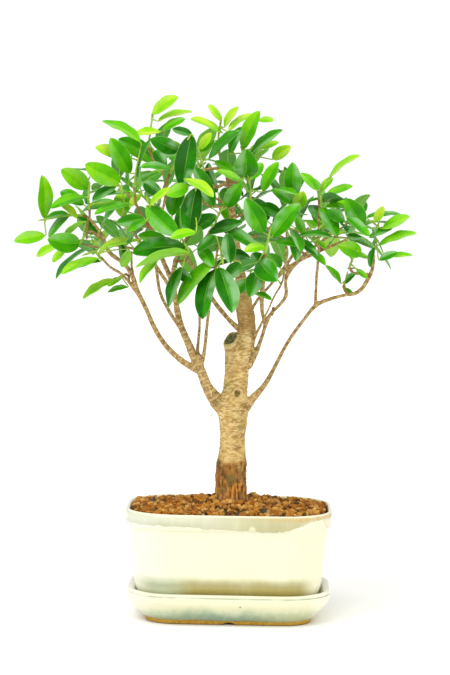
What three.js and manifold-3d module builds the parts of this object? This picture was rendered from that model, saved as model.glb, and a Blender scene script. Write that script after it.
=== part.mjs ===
// Broom-style ficus bonsai in a glazed oval-rectangular pot on its drip saucer.
// Millimetres, +Z up, origin on the table under the middle of the whole outline.
import * as THREE from "three";
import { mergeVertices } from "three/addons/utils/BufferGeometryUtils.js";
import Module from "manifold-3d";

// Pot and saucer: every level is the rim's rounded rectangle drawn in by an inset
const RIM_HALF_WIDTH = 104;
const RIM_HALF_DEPTH = 76;
const RIM_CORNER_RADIUS = 51;
const CORNER_STEPS = 5;
const SAUCER_FOOT_TOP = 4;
const SAUCER_FLOOR = 9.2;
const SAUCER_LIP_TOP = 32.4;
const SAUCER_SHIFT = 1;
const POT_FOOT_BOTTOM = SAUCER_FLOOR + 0.3;
const POT_FLOOR = 17;
const POT_RIM_TOP = 112;
const DRAIN_HOLE_RADIUS = 7;
const DRAIN_HOLE_X = 38;
const NOTCH_HALF_WIDTH = 6.8;
const NOTCH_HEIGHT = 3.8;
const NOTCH_SINK = 1;
const NOTCH_X = 1.2;

// Drainage mesh squares
const MESH_SIZE = 26;
const MESH_THICKNESS = 1;
const MESH_BAR = 2;
const MESH_WINDOWS = 3;

// Soil bed
const FIT_GAP = 0.3;
const SOIL_EDGE_LEVEL = 108.6;
const SOIL_MOUND_RISE = 7.6;
const SOIL_RINGS = 5;
const SOIL_LONG_SPLIT = 7;
const SOIL_SHORT_SPLIT = 4;
const GRANULE_RISE = 1.9;
const GRANULE_SHIFT = 2;
const EDGE_RISE_SHARE = 0.4;
const SOIL_SEED = 911;
const HOLE_SPARE = 0.7;

// Tree: how far it is turned and leans to the left in its pot, and is planted right of the middle
const PLANTED_TURN = THREE.MathUtils.degToRad(1);
const PLANTED_LEAN = THREE.MathUtils.degToRad(0.9);
const PLANTED_X = 1;
const TRUNK_SIDES = 12;
const TWIG_BASE_RADIUS = 2;
const TWIG_TIP_RADIUS = 1.4;
const TWIG_ROOT_SHARE = 0.72;
const TWIG_SIDES = 3;
const TWIG_SHORTEST = 7;
const TWIG_LONG = 45;
const TWIG_CLIMB = 2;
const TWIG_BEND = 0.45;
const GREEN_STEM_RADIUS = 1.4;
const STEM_SIDES = 3;
const STEM_STEP = 1.5;
const STEM_BARE_RUN = 3;
const PETIOLE_RADIUS = 0.75;
const PETIOLE_ROOT_RADIUS = 0.45;
const BACK_PETIOLE = 8;
const GRAFT_GAP = 0.35;
const SMALLEST_EDGE = 0.05;

// Leaf blades
const LEAF_WIDTH_SHARE = 0.46;
const LEAF_THICKNESS = 1.25;
const LEAF_FOLD = 0.2;
const LEAF_ARCH = 0.07;
const BLADE_STATIONS = [
  { along: 0.2, width: 0.72 },
  { along: 0.5, width: 1 },
  { along: 0.79, width: 0.7 },
];
const SMALL_LEAF = 52;
const SMALL_STATIONS = [
  { along: 0.3, width: 0.88 },
  { along: 0.7, width: 0.84 },
];
const DOUBLES_BACK = -0.4;
const STALK_SINK = 0.09;
const LEAST_LEAN = 1.03;
const LEAF_DROOP = 0.16;
const SPIRAL_OUT = 0.55;
const SPIRAL_SPREAD = 0.85;
const GOLDEN_ANGLE = 2.4;

// Leaves are kept apart by the room that points on them need, and tried in other poses until they fit
const SAMPLE_STEP = 3;
const BLADE_ROOM = 1.95;
const STEM_SPARE = 0.5;
const WOOD_SPARE = 0.9;
const BOX_MARGIN = 6;
const LEAF_SHIFTS = [0, -7, 7, -14, 14, -21, 21, -30, 30];
const LEAF_SWINGS = [0, -9, 9, -18, 18];
const LEAF_TURNS = [0, 12, -12, 24, -24, 36, -36, 48, -48, 60, -60, 80, -80];
const MOST_CROWDING = 1.4;
const OWN_ROOM_SHARE = 0.62;
const OTHERS_WEIGHT = 4;

// The front elevation's places are seen from here, so a place further back is drawn out in proportion
const FRONT_EYE = new THREE.Vector3(-3.5, -2600, 490);

const UP = new THREE.Vector3(0, 0, 1);
const wasm = await Module();
wasm.setup();

// A repeatable random draw between 0 and 1
function makeRandom(seed) {
  const modulus = 2147483647;
  let state = seed;
  return () => {
    state = (state * 16807) % modulus;
    return state / modulus;
  };
}

// A front-elevation place (x, z) at depth y, as a point in the tree's frame
function seen([x, z, y]) {
  const stretch = 1 + y / -FRONT_EYE.y;
  return new THREE.Vector3(
    FRONT_EYE.x + (x - FRONT_EYE.x) * stretch,
    y,
    FRONT_EYE.z + (z - FRONT_EYE.z) * stretch,
  );
}

// A solid from points and triangles
function solidFrom(points, faces) {
  const mesh = new wasm.Mesh({
    numProp: 3,
    vertProperties: Float32Array.from(points.flatMap((p) => [p.x, p.y, p.z])),
    triVerts: Uint32Array.from(faces.flat()),
  });
  return new wasm.Manifold(mesh);
}

// A solid from a closed three.js geometry
function solidOf(geometry) {
  const bare = geometry.clone();
  bare.deleteAttribute("normal");
  bare.deleteAttribute("uv");
  const merged = mergeVertices(bare, 1e-4);
  return new wasm.Manifold(
    new wasm.Mesh({
      numProp: 3,
      vertProperties: merged.attributes.position.array,
      triVerts: new Uint32Array(merged.index.array),
    }),
  );
}

// The skin over a stack of rings, anticlockwise seen from the last one, with an optional pointed end.
// Mirrored rings are split into triangles alike on both sides of the odd points.
function skin(rings, { apex = null, mirrored = false } = {}) {
  const sides = rings[0].length;
  const points = rings.flat();
  const faces = [];
  for (let r = 0; r + 1 < rings.length; r += 1) {
    for (let i = 0; i < sides; i += 1) {
      const a = r * sides + i;
      const b = r * sides + ((i + 1) % sides);
      const c = a + sides;
      const d = b + sides;
      if (mirrored && i % 2 === 1) faces.push([a, b, c], [b, d, c]);
      else faces.push([a, b, d], [a, d, c]);
    }
  }
  const last = (rings.length - 1) * sides;
  for (let i = 1; i + 1 < sides; i += 1) faces.push([0, i + 1, i]);
  if (apex) {
    points.push(apex);
    for (let i = 0; i < sides; i += 1) {
      faces.push([last + i, last + ((i + 1) % sides), points.length - 1]);
    }
  } else {
    for (let i = 1; i + 1 < sides; i += 1) faces.push([last, last + i, last + i + 1]);
  }
  return solidFrom(points, faces);
}

// The rim's rounded rectangle drawn in by an inset, at height z, its straight runs split as asked
function potteryRing([inset, z], longSplit = 1, shortSplit = 1) {
  const radius = RIM_CORNER_RADIUS - inset;
  const cx = RIM_HALF_WIDTH - RIM_CORNER_RADIUS;
  const cy = RIM_HALF_DEPTH - RIM_CORNER_RADIUS;
  const ring = [];
  for (let corner = 0; corner < 4; corner += 1) {
    const signX = corner === 0 || corner === 3 ? 1 : -1;
    const signY = corner < 2 ? 1 : -1;
    for (let step = 0; step <= CORNER_STEPS; step += 1) {
      const angle = ((corner + step / CORNER_STEPS) * Math.PI) / 2;
      ring.push(
        new THREE.Vector3(
          signX * cx + radius * Math.cos(angle),
          signY * cy + radius * Math.sin(angle),
          z,
        ),
      );
    }
    const split = corner % 2 === 0 ? longSplit : shortSplit;
    const from = ring[ring.length - 1];
    const run = corner % 2 === 0 ? [-2 * cx * signY, 0] : [0, 2 * cy * signX];
    for (let k = 1; k < split; k += 1) {
      ring.push(new THREE.Vector3(from.x + (run[0] * k) / split, from.y + (run[1] * k) / split, z));
    }
  }
  return ring;
}

const pottery = (profile) => skin(profile.map((level) => potteryRing(level)));

function uprightCylinder(radius, x, y, bottom, top) {
  const geometry = new THREE.CylinderGeometry(radius, radius, top - bottom, 12);
  geometry.rotateX(Math.PI / 2);
  geometry.translate(x, y, (top + bottom) / 2);
  return solidOf(geometry);
}

// The pot's wall inside, from the floor up: the soil follows it
const POT_INSIDE = [
  [29, POT_FLOOR],
  [22, 21],
  [15, 32],
  [12, 50],
  [6.4, 105],
  [4.6, POT_RIM_TOP + 0.2],
];

function makePot() {
  const outside = pottery([
    [26.5, POT_FOOT_BOTTOM],
    [25.5, 12.5],
    [19.4, 18],
    [14.6, 26],
    [11, 36],
    [8.8, 49],
    [3.4, 95.6],
    [0.4, 97.6],
    [0, 106],
    [2.4, POT_RIM_TOP],
  ]);
  const hollow = pottery(POT_INSIDE);
  const footRecess = pottery([
    [33, POT_FOOT_BOTTOM - 1],
    [34, 12],
  ]);
  const drains = [-DRAIN_HOLE_X, DRAIN_HOLE_X].map((x) =>
    uprightCylinder(DRAIN_HOLE_RADIUS, x, 0, POT_FOOT_BOTTOM - 2, POT_FLOOR + 2),
  );
  return [hollow, footRecess, ...drains].reduce((a, b) => a.subtract(b), outside);
}

function makeSaucer() {
  const outside = pottery([
    [21, 0],
    [20.5, SAUCER_FOOT_TOP],
    [18.4, 5.2],
    [11, 11.5],
    [7.6, 16],
    [3.8, 20.5],
    [2.4, 24],
    [2.2, 29],
    [4.2, SAUCER_LIP_TOP],
  ]);
  const hollow = pottery([
    [22, SAUCER_FLOOR],
    [16.4, 17],
    [13.4, 24.2],
    [10.6, 29.6],
    [9.4, SAUCER_LIP_TOP + 0.2],
  ]);
  const footRecess = pottery([
    [26.5, -1],
    [28, 3.2],
  ]);
  const notch = new THREE.CylinderGeometry(1, 1, 4 * RIM_HALF_DEPTH, 16);
  notch.scale(NOTCH_HALF_WIDTH, 1, NOTCH_HEIGHT);
  notch.translate(NOTCH_X, 0, -NOTCH_SINK);
  const saucer = outside.subtract(hollow).subtract(footRecess).subtract(solidOf(notch));
  return saucer.translate([SAUCER_SHIFT, 0, 0]);
}

function makeDrainMesh(centreX) {
  const bottom = POT_FLOOR + FIT_GAP;
  const plate = new THREE.BoxGeometry(MESH_SIZE, MESH_SIZE, MESH_THICKNESS);
  plate.translate(centreX, 0, bottom + MESH_THICKNESS / 2);
  let solid = solidOf(plate);
  const pitch = (MESH_SIZE - MESH_BAR) / MESH_WINDOWS;
  for (let i = 0; i < MESH_WINDOWS; i += 1) {
    for (let j = 0; j < MESH_WINDOWS; j += 1) {
      const window = new THREE.BoxGeometry(pitch - MESH_BAR, pitch - MESH_BAR, 4 * MESH_THICKNESS);
      window.translate(
        centreX + (i - (MESH_WINDOWS - 1) / 2) * pitch,
        (j - (MESH_WINDOWS - 1) / 2) * pitch,
        bottom,
      );
      solid = solid.subtract(solidOf(window));
    }
  }
  return solid;
}

// Trunk: height, left and right edge in the front elevation, and half the thickness front to back
const TRUNK_LEVELS = [
  [78, -6, 11, 9],
  [102, -14.5, 20, 17],
  [113, -14.6, 19.6, 17],
  [124, -13, 18, 15.4],
  [141, -13, 17.6, 15],
  [157, -11.6, 18, 14.4],
  [170, -9, 16.6, 13.2],
  [181, -8.4, 16.2, 12.8],
  [194, -9.6, 18.6, 13.6],
  [206, -12, 21, 14],
  [218, -9, 20.4, 13],
  [232, -5, 19, 12],
  [247, -4, 20.4, 12],
  [262, -4, 22, 12.4],
  [271, -2, 23, 11.6],
];
const TRUNK_WOBBLE = 0.045;
const TRUNK_RIPPLES = [
  { waves: 3, depth: 1, twist: 0.55 },
  { waves: 5, depth: 0.6, twist: -0.9 },
];

// The trunk's outline at one level, grown outwards by spare
function trunkRing([z, left, right, halfDepth], level, spare) {
  const middle = seen([(left + right) / 2, z, 0]);
  const halfWidth = (right - left) / 2;
  return Array.from({ length: TRUNK_SIDES }, (_, i) => {
    const angle = (2 * Math.PI * i) / TRUNK_SIDES;
    const ripples = TRUNK_RIPPLES.map(({ waves, depth, twist }) => {
      return depth * Math.sin(waves * angle + twist * level);
    });
    const wobble = 1 + TRUNK_WOBBLE * (ripples[0] + ripples[1]);
    return new THREE.Vector3(
      middle.x + (halfWidth * wobble + spare) * Math.cos(angle),
      (halfDepth * wobble + spare) * Math.sin(angle),
      middle.z,
    );
  });
}

const makeTrunk = () => skin(TRUNK_LEVELS.map((row, level) => trunkRing(row, level, 0)));

// Healed ring of a pruned front shoot: x, z, how far it stands out to the front, and its radius
const PRUNING_KNOT = { x: 9, z: 226, front: 14.2, radius: 4 };
const KNOT_SIDES = 8;
const KNOT_TAPER = 0.85;

// The way the pruned top's cut face looks: up, to the left and to the front
const CUT_FACE = new THREE.Vector3(-0.55, -0.5, 0.67).normalize();

// A tapering tube through points, with its own end directions where they are given
function tube(points, radii, sides, endDirection = null, startDirection = null) {
  const rings = [];
  let across = null;
  points.forEach((point, i) => {
    const before = points[Math.max(i - 1, 0)];
    const after = points[Math.min(i + 1, points.length - 1)];
    let direction = after.clone().sub(before).normalize();
    if (i === points.length - 1 && endDirection) direction = endDirection.clone();
    if (i === 0 && startDirection) direction = startDirection.clone();
    if (!across) {
      const guide = Math.abs(direction.z) > 0.9 ? new THREE.Vector3(1, 0, 0) : UP;
      across = guide.clone();
    }
    across = across.clone().addScaledVector(direction, -across.dot(direction)).normalize();
    const second = direction.clone().cross(across);
    const ring = [];
    for (let k = 0; k < sides; k += 1) {
      const angle = (2 * Math.PI * k) / sides;
      ring.push(
        point
          .clone()
          .addScaledVector(across, radii[i] * Math.cos(angle))
          .addScaledVector(second, radii[i] * Math.sin(angle)),
      );
    }
    rings.push(ring);
  });
  return skin(rings);
}

// Limbs: sides, then x, z, depth and radius along the front elevation
const LIMBS = {
  pruned_stub: [
    9,
    [7.4, 262, -2, 10.2], [5.2, 270, -2, 9.1], [2.4, 280, -3, 8.2],
  ],
  leader: [
    8,
    [12, 262, 0, 10.5], [16, 275, 0, 9.4], [18.5, 292, 0, 9], [16.6, 307, 0, 8.9], [14.8, 318, 0, 8.4],
    [14.2, 330, 1, 7.2], [11.5, 345, 3, 5.4], [6, 385, 4, 3.9], [2, 420, 2, 3.1], [-2, 452, 0, 2.2],
  ],
  left_limb: [
    7,
    [4, 203, 0, 9], [-8.6, 214, -1, 8], [-16.6, 224, -2, 6.4], [-22, 233, -3.5, 5.2],
    [-26.6, 245, -5, 4.6], [-30.5, 256, -6, 4.6], [-31.4, 265, -6, 3.6],
  ],
  left_low: [
    6,
    [-26, 246, -5, 3.8], [-41, 254, -9, 3.2], [-51, 261.4, -12, 2.9], [-63.4, 274, -17, 2.6],
    [-74.6, 292, -21, 2.4], [-82, 309, -24, 2.3], [-91, 328, -27, 2.4], [-97, 345, -29, 2.4],
    [-104, 355, -30, 2.2],
    [-120, 368, -30, 2.1], [-126, 383, -29, 1.9], [-139, 401, -27, 1.5],
  ],
  left_green: [
    4,
    [-90, 324, -27, 1.9], [-107, 345, -31, 1.6], [-118, 352, -33, 1.4], [-127, 361, -34, 1.25],
  ],
  left_rise: [
    5,
    [-30, 252, -6, 4], [-35.6, 262, -9, 3.5], [-40.6, 275, -14, 3.2], [-46, 288, -20, 3.1],
    [-50.4, 302, -27, 3], [-53, 320, -35, 2.9], [-57, 338, -43, 2.7], [-67, 362, -52, 2.3],
    [-78, 392, -60, 1.8],
  ],
  left_rise_fork: [
    4,
    [-56, 336, -43, 2.2], [-55, 352, -55, 1.9], [-48, 372, -68, 1.6],
  ],
  left_slim: [
    4,
    [-43, 284, -18, 2.3], [-52, 296, -16, 2], [-60, 309, -10, 1.9], [-68, 325, -3, 1.8],
    [-72, 348, 6, 1.7], [-78, 385, 12, 1.5],
  ],
  inner_left: [
    4,
    [-31.6, 260, -6, 2.2], [-30.6, 275, -3, 1.7], [-29.2, 292, 2, 1.5], [-29.4, 312, 8, 1.5],
    [-30, 345, 18, 1.5],
  ],
  inner_mid: [
    4,
    [-27, 254, -5, 2.2], [-24, 270, -12, 1.9], [-22, 290, -20, 1.8], [-19, 315, -32, 1.7],
    [-14, 350, -52, 1.5],
  ],
  crossing: [
    4,
    [10, 290, -4, 2.8], [0, 300, -10, 2.4], [-16, 320, -20, 2.3], [-30, 345, -30, 2.2],
    [-45, 365, -42, 2],
  ],
  right_rise: [
    6,
    [19, 252, -2, 4.2], [26.4, 264, -5, 2.8], [32, 278, -7, 2], [35.6, 289, -9, 1.8],
    [38, 297, -11, 2.4], [43.6, 307, -14, 1.8], [50, 313, -17, 1.7], [57.6, 324, -22, 1.9],
    [57.2, 338, -26, 1.7], [60, 347, -28, 2.4], [74, 362, -30, 2.1], [93, 378, -33, 1.6],
    [119, 395, -38, 1.3],
  ],
  right_mid: [
    4,
    [22, 260, -3, 2.6], [25.4, 280, -7, 2], [31.2, 292, -13, 1.4], [39.6, 309, -23, 1.2],
    [45.4, 322, -33, 1.2], [54.6, 340, -46, 1.3], [58, 380, -58, 1.3],
  ],
  right_upright: [
    4,
    [36.6, 296, -10, 2], [34, 306, -15, 1.8], [33.2, 318, -22, 2.3], [33.8, 331, -32, 2.6],
    [35.6, 343, -43, 2.1], [37, 366, -60, 1.5],
  ],
  right_strand: [4, [23, 294, -3, 2], [28, 304, -8, 1.3], [32.4, 320, -22, 1.3]],
  right_low: [
    6,
    [14, 208, -2, 6], [25, 221, -5, 3.8], [35.6, 233, -7, 2.6], [45.4, 250, -9, 2.1],
    [58.4, 275, -12, 1.9], [77.4, 302, -14, 1.8], [88, 314, -15, 2.2], [101, 320, -15, 2],
    [116, 324, -14, 1.8], [129, 327, -14, 2], [140, 341, -14, 2.3], [145, 356, -14, 1.6],
    [145, 369, -14, 1.25],
  ],
  right_low_rise: [
    4,
    [87, 314, -15, 1.8], [88, 340, -18, 1.5], [90, 365, -21, 1.4], [90, 395, -24, 1.4],
    [91, 414, -25, 1.3],
  ],
  back_right: [
    4,
    [16, 262, 5, 4], [19, 292, 22, 2.6], [25, 313, 34, 1.7], [45, 338, 52, 1.6],
    [62, 361, 66, 1.8], [80, 392, 74, 1.6],
  ],
  back_middle: [
    4,
    [14, 270, 5, 4], [16, 300, 26, 3], [13, 335, 54, 2.5], [8, 375, 78, 2], [4, 412, 86, 1.6],
  ],
  back_left: [
    4,
    [-27, 250, -2, 3], [-36.4, 270, 10, 2.7], [-47, 294, 28, 2.4], [-55, 324, 46, 2.2],
    [-72, 352, 62, 2], [-96, 388, 70, 1.6],
  ],
  back_low_right: [
    4,
    [45, 338, 52, 1.8], [60, 352, 60, 1.9], [84, 365, 62, 1.8], [124, 382, 50, 1.5],
  ],
};

// Leafy shoots that the front shows. base and stem are x, z along the front elevation, from depth[0]
// to depth[1]. Each leaf is the blade's base x, z, its tip x, z and the width it shows, then -1 where
// the tip leans to the front or 1 to the back, and -1 again where the underside shows.
const FRONT_SHOOTS = {
  left_tip: {
    base: [-146, 404], stem: [[-160, 404], [-183, 400]], depth: [-25, -32],
    leaves: [
      [-184, 401, -186.5, 444, 15], [-183.5, 384, -214.5, 378, 12], [-160, 405, -184.5, 400, 6, 1],
      [-151, 401, -168, 415, 7], [-158, 405, -180, 382, 8],
    ],
  },
  left_node: {
    base: [-139, 410], stem: [[-140, 420], [-139, 432]], depth: [-28, -36],
    leaves: [
      [-143, 422, -177.5, 411, 10], [-140, 431, -167, 450, 18], [-140, 415, -138, 442, 4, 1],
      [-112, 416, -146, 408, 8, 1],
    ],
  },
  left_fall: {
    base: [-143, 386], stem: [[-148, 376], [-165, 372]], depth: [-34, -46],
    leaves: [
      [-149, 376, -181, 380, 20], [-143, 398, -165, 381, 6, 1, -1], [-172, 373, -192, 363, 8, 1],
      [-163, 370, -176, 357, 7],
    ],
  },
  left_under: {
    base: [-128, 362], stem: [[-134, 368], [-140, 366]], depth: [-34, -38],
    leaves: [
      [-130, 361, -167, 345, 9], [-128, 358, -152, 351.5, 5, 1], [-108, 376, -105, 357, 8, -1],
      [-99, 369, -107, 352, 10, 1, -1], [-88, 379, -129, 369, 6, -1],
    ],
  },
  left_lowest: {
    base: [-103, 345], stem: [[-108, 343], [-113, 340]], depth: [-22, -16],
    leaves: [[-112, 340, -146, 320, 8], [-107, 341, -121, 333, 6, 1], [-101, 332, -121, 327, 5, 1]],
  },
  left_middle: {
    base: [-106, 404], stem: [[-104, 416], [-106, 428]], depth: [-58, -70],
    leaves: [
      [-113, 433, -136, 419, 10], [-108, 437, -143, 455, 20], [-112, 428, -129, 424, 6, 1],
      [-84, 400, -112, 396, 12], [-98, 415, -134, 405, 8],
    ],
  },
  upper_left: {
    base: [-94, 432], stem: [[-92, 450], [-88, 468]], depth: [-40, -38],
    leaves: [
      [-98, 446, -118, 481, 18], [-108, 462, -133, 472, 11], [-88, 477, -126, 498, 10, 1],
      [-90, 440, -77, 480, 5, -1], [-87, 425, -99, 412, 7],
    ],
  },
  top_left: {
    base: [-80, 472], stem: [[-78, 488], [-76, 502]], depth: [-14, -10],
    leaves: [
      [-76, 505, -50, 522, 12], [-70, 498, -36, 507, 6, 1], [-66, 488, -43, 500, 8],
      [-68, 487, -94, 484, 7], [-74, 457, -110, 480, 18],
    ],
  },
  high_front_left: {
    base: [-58, 446], stem: [[-50, 462], [-40, 480]], depth: [-66, -84],
    leaves: [
      [-50, 468, -78, 480, 16], [-36, 484, -56, 490, 8, 1], [-37, 484, -46, 432, 21],
      [-57, 450, -88, 452, 7], [-62, 452, -74, 468, 12, 1],
    ],
  },
  front_left: {
    base: [-72, 398], stem: [[-77, 410], [-80, 418]], depth: [-86, -96],
    leaves: [
      [-82, 413, -50, 384, 20], [-78, 414, -58, 431, 7], [-58, 394, -83, 400, 9],
      [-82, 399, -100, 388, 8], [-66, 425, -84, 436, 13, 1],
    ],
  },
  low_front_left: {
    base: [-40, 364], stem: [[-42, 372], [-45, 378]], depth: [-76, -90],
    leaves: [
      [-43, 372, -96, 366, 18], [-40, 366, -93, 352, 9, -1, -1], [-70, 360, -89, 336, 7, 1],
      [-46, 352, -60, 312, 11, 1],
    ],
  },
  inner_front_left: {
    base: [-34, 404], stem: [[-32, 420], [-33, 436]], depth: [-92, -100],
    leaves: [
      [-31, 432, -40, 384, 20], [-33, 387, -58, 381, 9], [-44, 440, -15, 422, 10],
      [-40, 433, -62, 424, 13],
    ],
  },
  front_hanging: {
    base: [-8, 372], stem: [[-7, 365], [-6, 359]], depth: [-84, -98],
    leaves: [
      [-13, 350, -26, 300, 17], [-9.5, 352, 3.5, 306, 21], [-14, 358, -51, 315, 14, 1],
      [-1, 386, 2, 356, 14], [12, 356, -3, 342, 14], [-14, 384, -31, 369, 10],
    ],
  },
  front_middle: {
    base: [-14, 392], stem: [[-12, 400], [-8, 408]], depth: [-66, -78],
    leaves: [
      [-6, 390, 27, 372, 12], [-20, 386, 14, 397, 12, 1], [-2, 412, 12, 436, 15],
      [-16, 412, -34, 452, 14, 1],
    ],
  },
  front_right: {
    base: [37, 366], stem: [[39, 376], [41, 386]], depth: [-76, -88],
    leaves: [
      [35, 387, 17, 421, 20], [44, 383, 72, 415, 18], [37, 372, 16, 368, 9], [31, 358, 49, 338, 22],
      [47, 377, 71, 374, 8],
    ],
  },
  low_middle_right: {
    base: [31, 352], stem: [[27, 350], [23, 349]], depth: [-52, -60],
    leaves: [[28, 347, 21, 322, 17], [23, 326, 43, 319, 5, 1], [20, 340, 6, 326, 12, 1]],
  },
  right_inner: {
    base: [74, 372], stem: [[80, 376], [88, 380]], depth: [-42, -50],
    leaves: [
      [75, 386, 67, 405, 9], [70, 384, 103, 382, 6, -1], [88, 379, 98, 371, 5, 1],
      [81, 368, 97, 354, 7], [78, 398, 88, 392, 7, 1],
    ],
  },
  right_middle: {
    base: [60, 398], stem: [[64, 410], [66, 424]], depth: [-60, -66],
    leaves: [
      [70, 413, 75, 428, 14], [64, 416, 43, 430, 10], [66, 424, 64, 457, 17],
      [47, 430, 69, 424, 5, 1], [54, 404, 32, 414, 13, 1],
    ],
  },
  top_middle: {
    base: [14, 446], stem: [[14, 458], [15, 468]], depth: [-30, -26],
    leaves: [
      [14, 470, 31, 508, 15], [2, 466, 13, 492, 10, 1], [22, 465, 54, 489, 9],
      [32, 470, 50, 477, 7, 1], [44, 460, 62, 473, 12], [30, 498, 45, 499, 6, 1],
    ],
  },
  high_front_right: {
    base: [22, 418], stem: [[22, 430], [20, 440]], depth: [-62, -72],
    leaves: [
      [34, 428, 50, 457, 12], [17, 442, 18, 470, 24], [22, 440, 34, 456, 10, 1],
      [20, 428, -12, 449, 6], [6, 446, -14, 458, 9, 1],
    ],
  },
  crest: {
    base: [-10, 470], stem: [[-10, 484], [-8, 496]], depth: [0, -6],
    leaves: [
      [-6, 486, -38, 500, 7], [-4, 492, 10, 512, 8], [0, 488, 24, 505, 7, 1],
      [-14, 478, -34, 470, 12, 1], [-8, 498, -20, 514, 7, 1],
    ],
  },
  crest_front: {
    base: [-24, 446], stem: [[-26, 456], [-29, 466]], depth: [-46, -50],
    leaves: [[-29, 470, -17, 486, 9], [-20, 460, 12, 488, 10], [-31, 460, -60, 462, 13, 1]],
  },
  right_high: {
    base: [90.5, 420], stem: [[91, 425], [92, 430]], depth: [-25, -26],
    leaves: [
      [100, 441, 131, 463.5, 6], [93, 428, 103, 442, 8, 1], [96, 422, 124, 433, 8],
      [97, 413, 132, 411, 9], [93, 412, 108, 383, 14], [88, 429, 72, 446, 9, 1],
    ],
  },
  right_front: {
    base: [124, 398], stem: [[130, 396], [134, 393]], depth: [-46, -56],
    leaves: [
      [134, 391, 117, 421, 20], [116, 397, 100, 410, 12, 1], [118, 402, 141, 383, 9],
      [118, 384, 133, 382, 7],
    ],
  },
  right_tip: {
    base: [146, 377], stem: [[147, 384], [149, 392]], depth: [-15, -18],
    leaves: [
      [138, 402, 175, 403, 5, 1], [154, 391, 181, 403, 11], [146, 398, 155, 413, 9],
      [150, 374, 188, 386, 8], [141, 382, 164, 391, 7], [146, 372, 142, 352, 6],
      [151, 359, 169, 367, 8, 1], [158, 361, 184, 364, 5],
    ],
  },
  right_fall: {
    base: [121, 352], stem: [[124, 360], [127, 366]], depth: [-22, -34],
    leaves: [[133, 366, 109, 374, 16], [121, 364, 142, 361, 6, 1], [128, 350, 139, 341, 6]],
  },
  right_lowest: {
    base: [116, 334], stem: [[117, 338], [118, 342]], depth: [-10, -6],
    leaves: [[112, 336, 97, 354, 6, 1], [117, 336, 127, 345, 6], [115, 331, 125, 325, 6]],
  },
};

// Back of the crown: tiers of shoots set out by rule, angles in degrees, 90 is straight to the back.
// The crown falls away to the right, and a shoot starts at a share of the crown's half sizes.
const CROWN_MIDDLE = new THREE.Vector3(-6, 4, 388);
const CROWN_HALF = new THREE.Vector3(150, 108, 95);
const BACK_TIERS = [
  { count: 7, rise: -6, from: 2, to: 178 },
  { count: 6, rise: 24, from: 12, to: 168 },
  { count: 4, rise: 50, from: 25, to: 155 },
];
const CROWN_FALL = 0.9;
const CROWN_SEED = 4127;
const BACK_SPREAD = [0.3, 0.7];
const BACK_TILT = 12;
const BACK_START = [0.74, 0.88];
const BACK_LIFT = 0.35;
const BACK_LEAVES = 4;
const BACK_STEM = 20;
const BACK_BARE = 0.4;
const BACK_LEAF_LENGTH = [36, 50];

const limbPoints = (name) => LIMBS[name].slice(1).map(([x, z, y]) => seen([x, z, y]));
const limbRadii = (name) => LIMBS[name].slice(1).map((row) => row[3]);

// Points every step along a run of points, each with the radius there
function pointsAlong(points, radii, step) {
  const out = [];
  for (let i = 0; i + 1 < points.length; i += 1) {
    const count = Math.max(1, Math.ceil(points[i].distanceTo(points[i + 1]) / step));
    for (let k = 0; k < count; k += 1) {
      const share = k / count;
      out.push({
        at: points[i].clone().lerp(points[i + 1], share),
        radius: radii[i] + (radii[i + 1] - radii[i]) * share,
      });
    }
  }
  out.push({ at: points[points.length - 1], radius: radii[radii.length - 1] });
  return out;
}

// Where a shoot's twig leaves the limbs: the nearest place below it that is not right beside it
function twigStart(base) {
  let best = null;
  for (const name of Object.keys(LIMBS)) {
    if (name === "pruned_stub") continue;
    for (const place of pointsAlong(limbPoints(name), limbRadii(name), 4)) {
      const distance = place.at.distanceTo(base);
      if (distance < TWIG_SHORTEST) continue;
      const cost = distance + TWIG_CLIMB * Math.max(0, place.at.z - base.z + TWIG_SHORTEST);
      if (!best || cost < best.cost) best = { ...place, cost };
    }
  }
  return best;
}

// The twig bends so that it arrives in the direction that the green stem leaves in
function twigRoute(base, direction) {
  const start = twigStart(base);
  const reach = start.at.distanceTo(base);
  const bend = base.clone().addScaledVector(direction, -TWIG_BEND * reach);
  const end = base.clone().addScaledVector(direction, -GRAFT_GAP);
  const curve = new THREE.QuadraticBezierCurve3(start.at, bend, end);
  const points = curve.getPoints(reach > TWIG_LONG ? 3 : 2);
  const first = Math.min(TWIG_BASE_RADIUS, TWIG_ROOT_SHARE * start.radius);
  const radii = points.map((_, i) => {
    return first + ((TWIG_TIP_RADIUS - first) * i) / (points.length - 1);
  });
  return { points, radii };
}

// Everything placed so far, as points with the room that each needs round it
const placed = [];

const boxOf = (points) => new THREE.Box3().setFromPoints(points.map((p) => p.at));

function settle(owner, points, isBlade = false) {
  placed.push({ owner, points, isBlade, box: boxOf(points).expandByScalar(BOX_MARGIN) });
}

// How far short of its room a set of points comes, against the wood and other shoots, and against the
// blades of its own shoot, which may come closer
function crowding(owner, points) {
  const box = boxOf(points);
  const worst = { others: 0, own: 0 };
  for (const other of placed) {
    const own = other.owner === owner;
    if ((own && !other.isBlade) || !other.box.intersectsBox(box)) continue;
    const key = own ? "own" : "others";
    const share = own ? OWN_ROOM_SHARE : 1;
    for (const q of other.points) {
      for (const p of points) {
        worst[key] = Math.max(worst[key], share * (p.room + q.room) - p.at.distanceTo(q.at));
      }
    }
  }
  return worst;
}

const roomAlong = (points, radii, spare) =>
  pointsAlong(points, radii, SAMPLE_STEP).map(({ at, radius }) => ({ at, room: radius + spare }));

// The share of its half width that a blade has at a share of its length
function bladeWidth(along) {
  const marks = [{ along: 0, width: 0.1 }, ...BLADE_STATIONS, { along: 1, width: 0 }];
  const next = marks.findIndex((mark) => mark.along > along);
  if (next < 0) return 0;
  const a = marks[next - 1];
  const b = marks[next];
  return a.width + ((b.width - a.width) * (along - a.along)) / (b.along - a.along);
}

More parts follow.
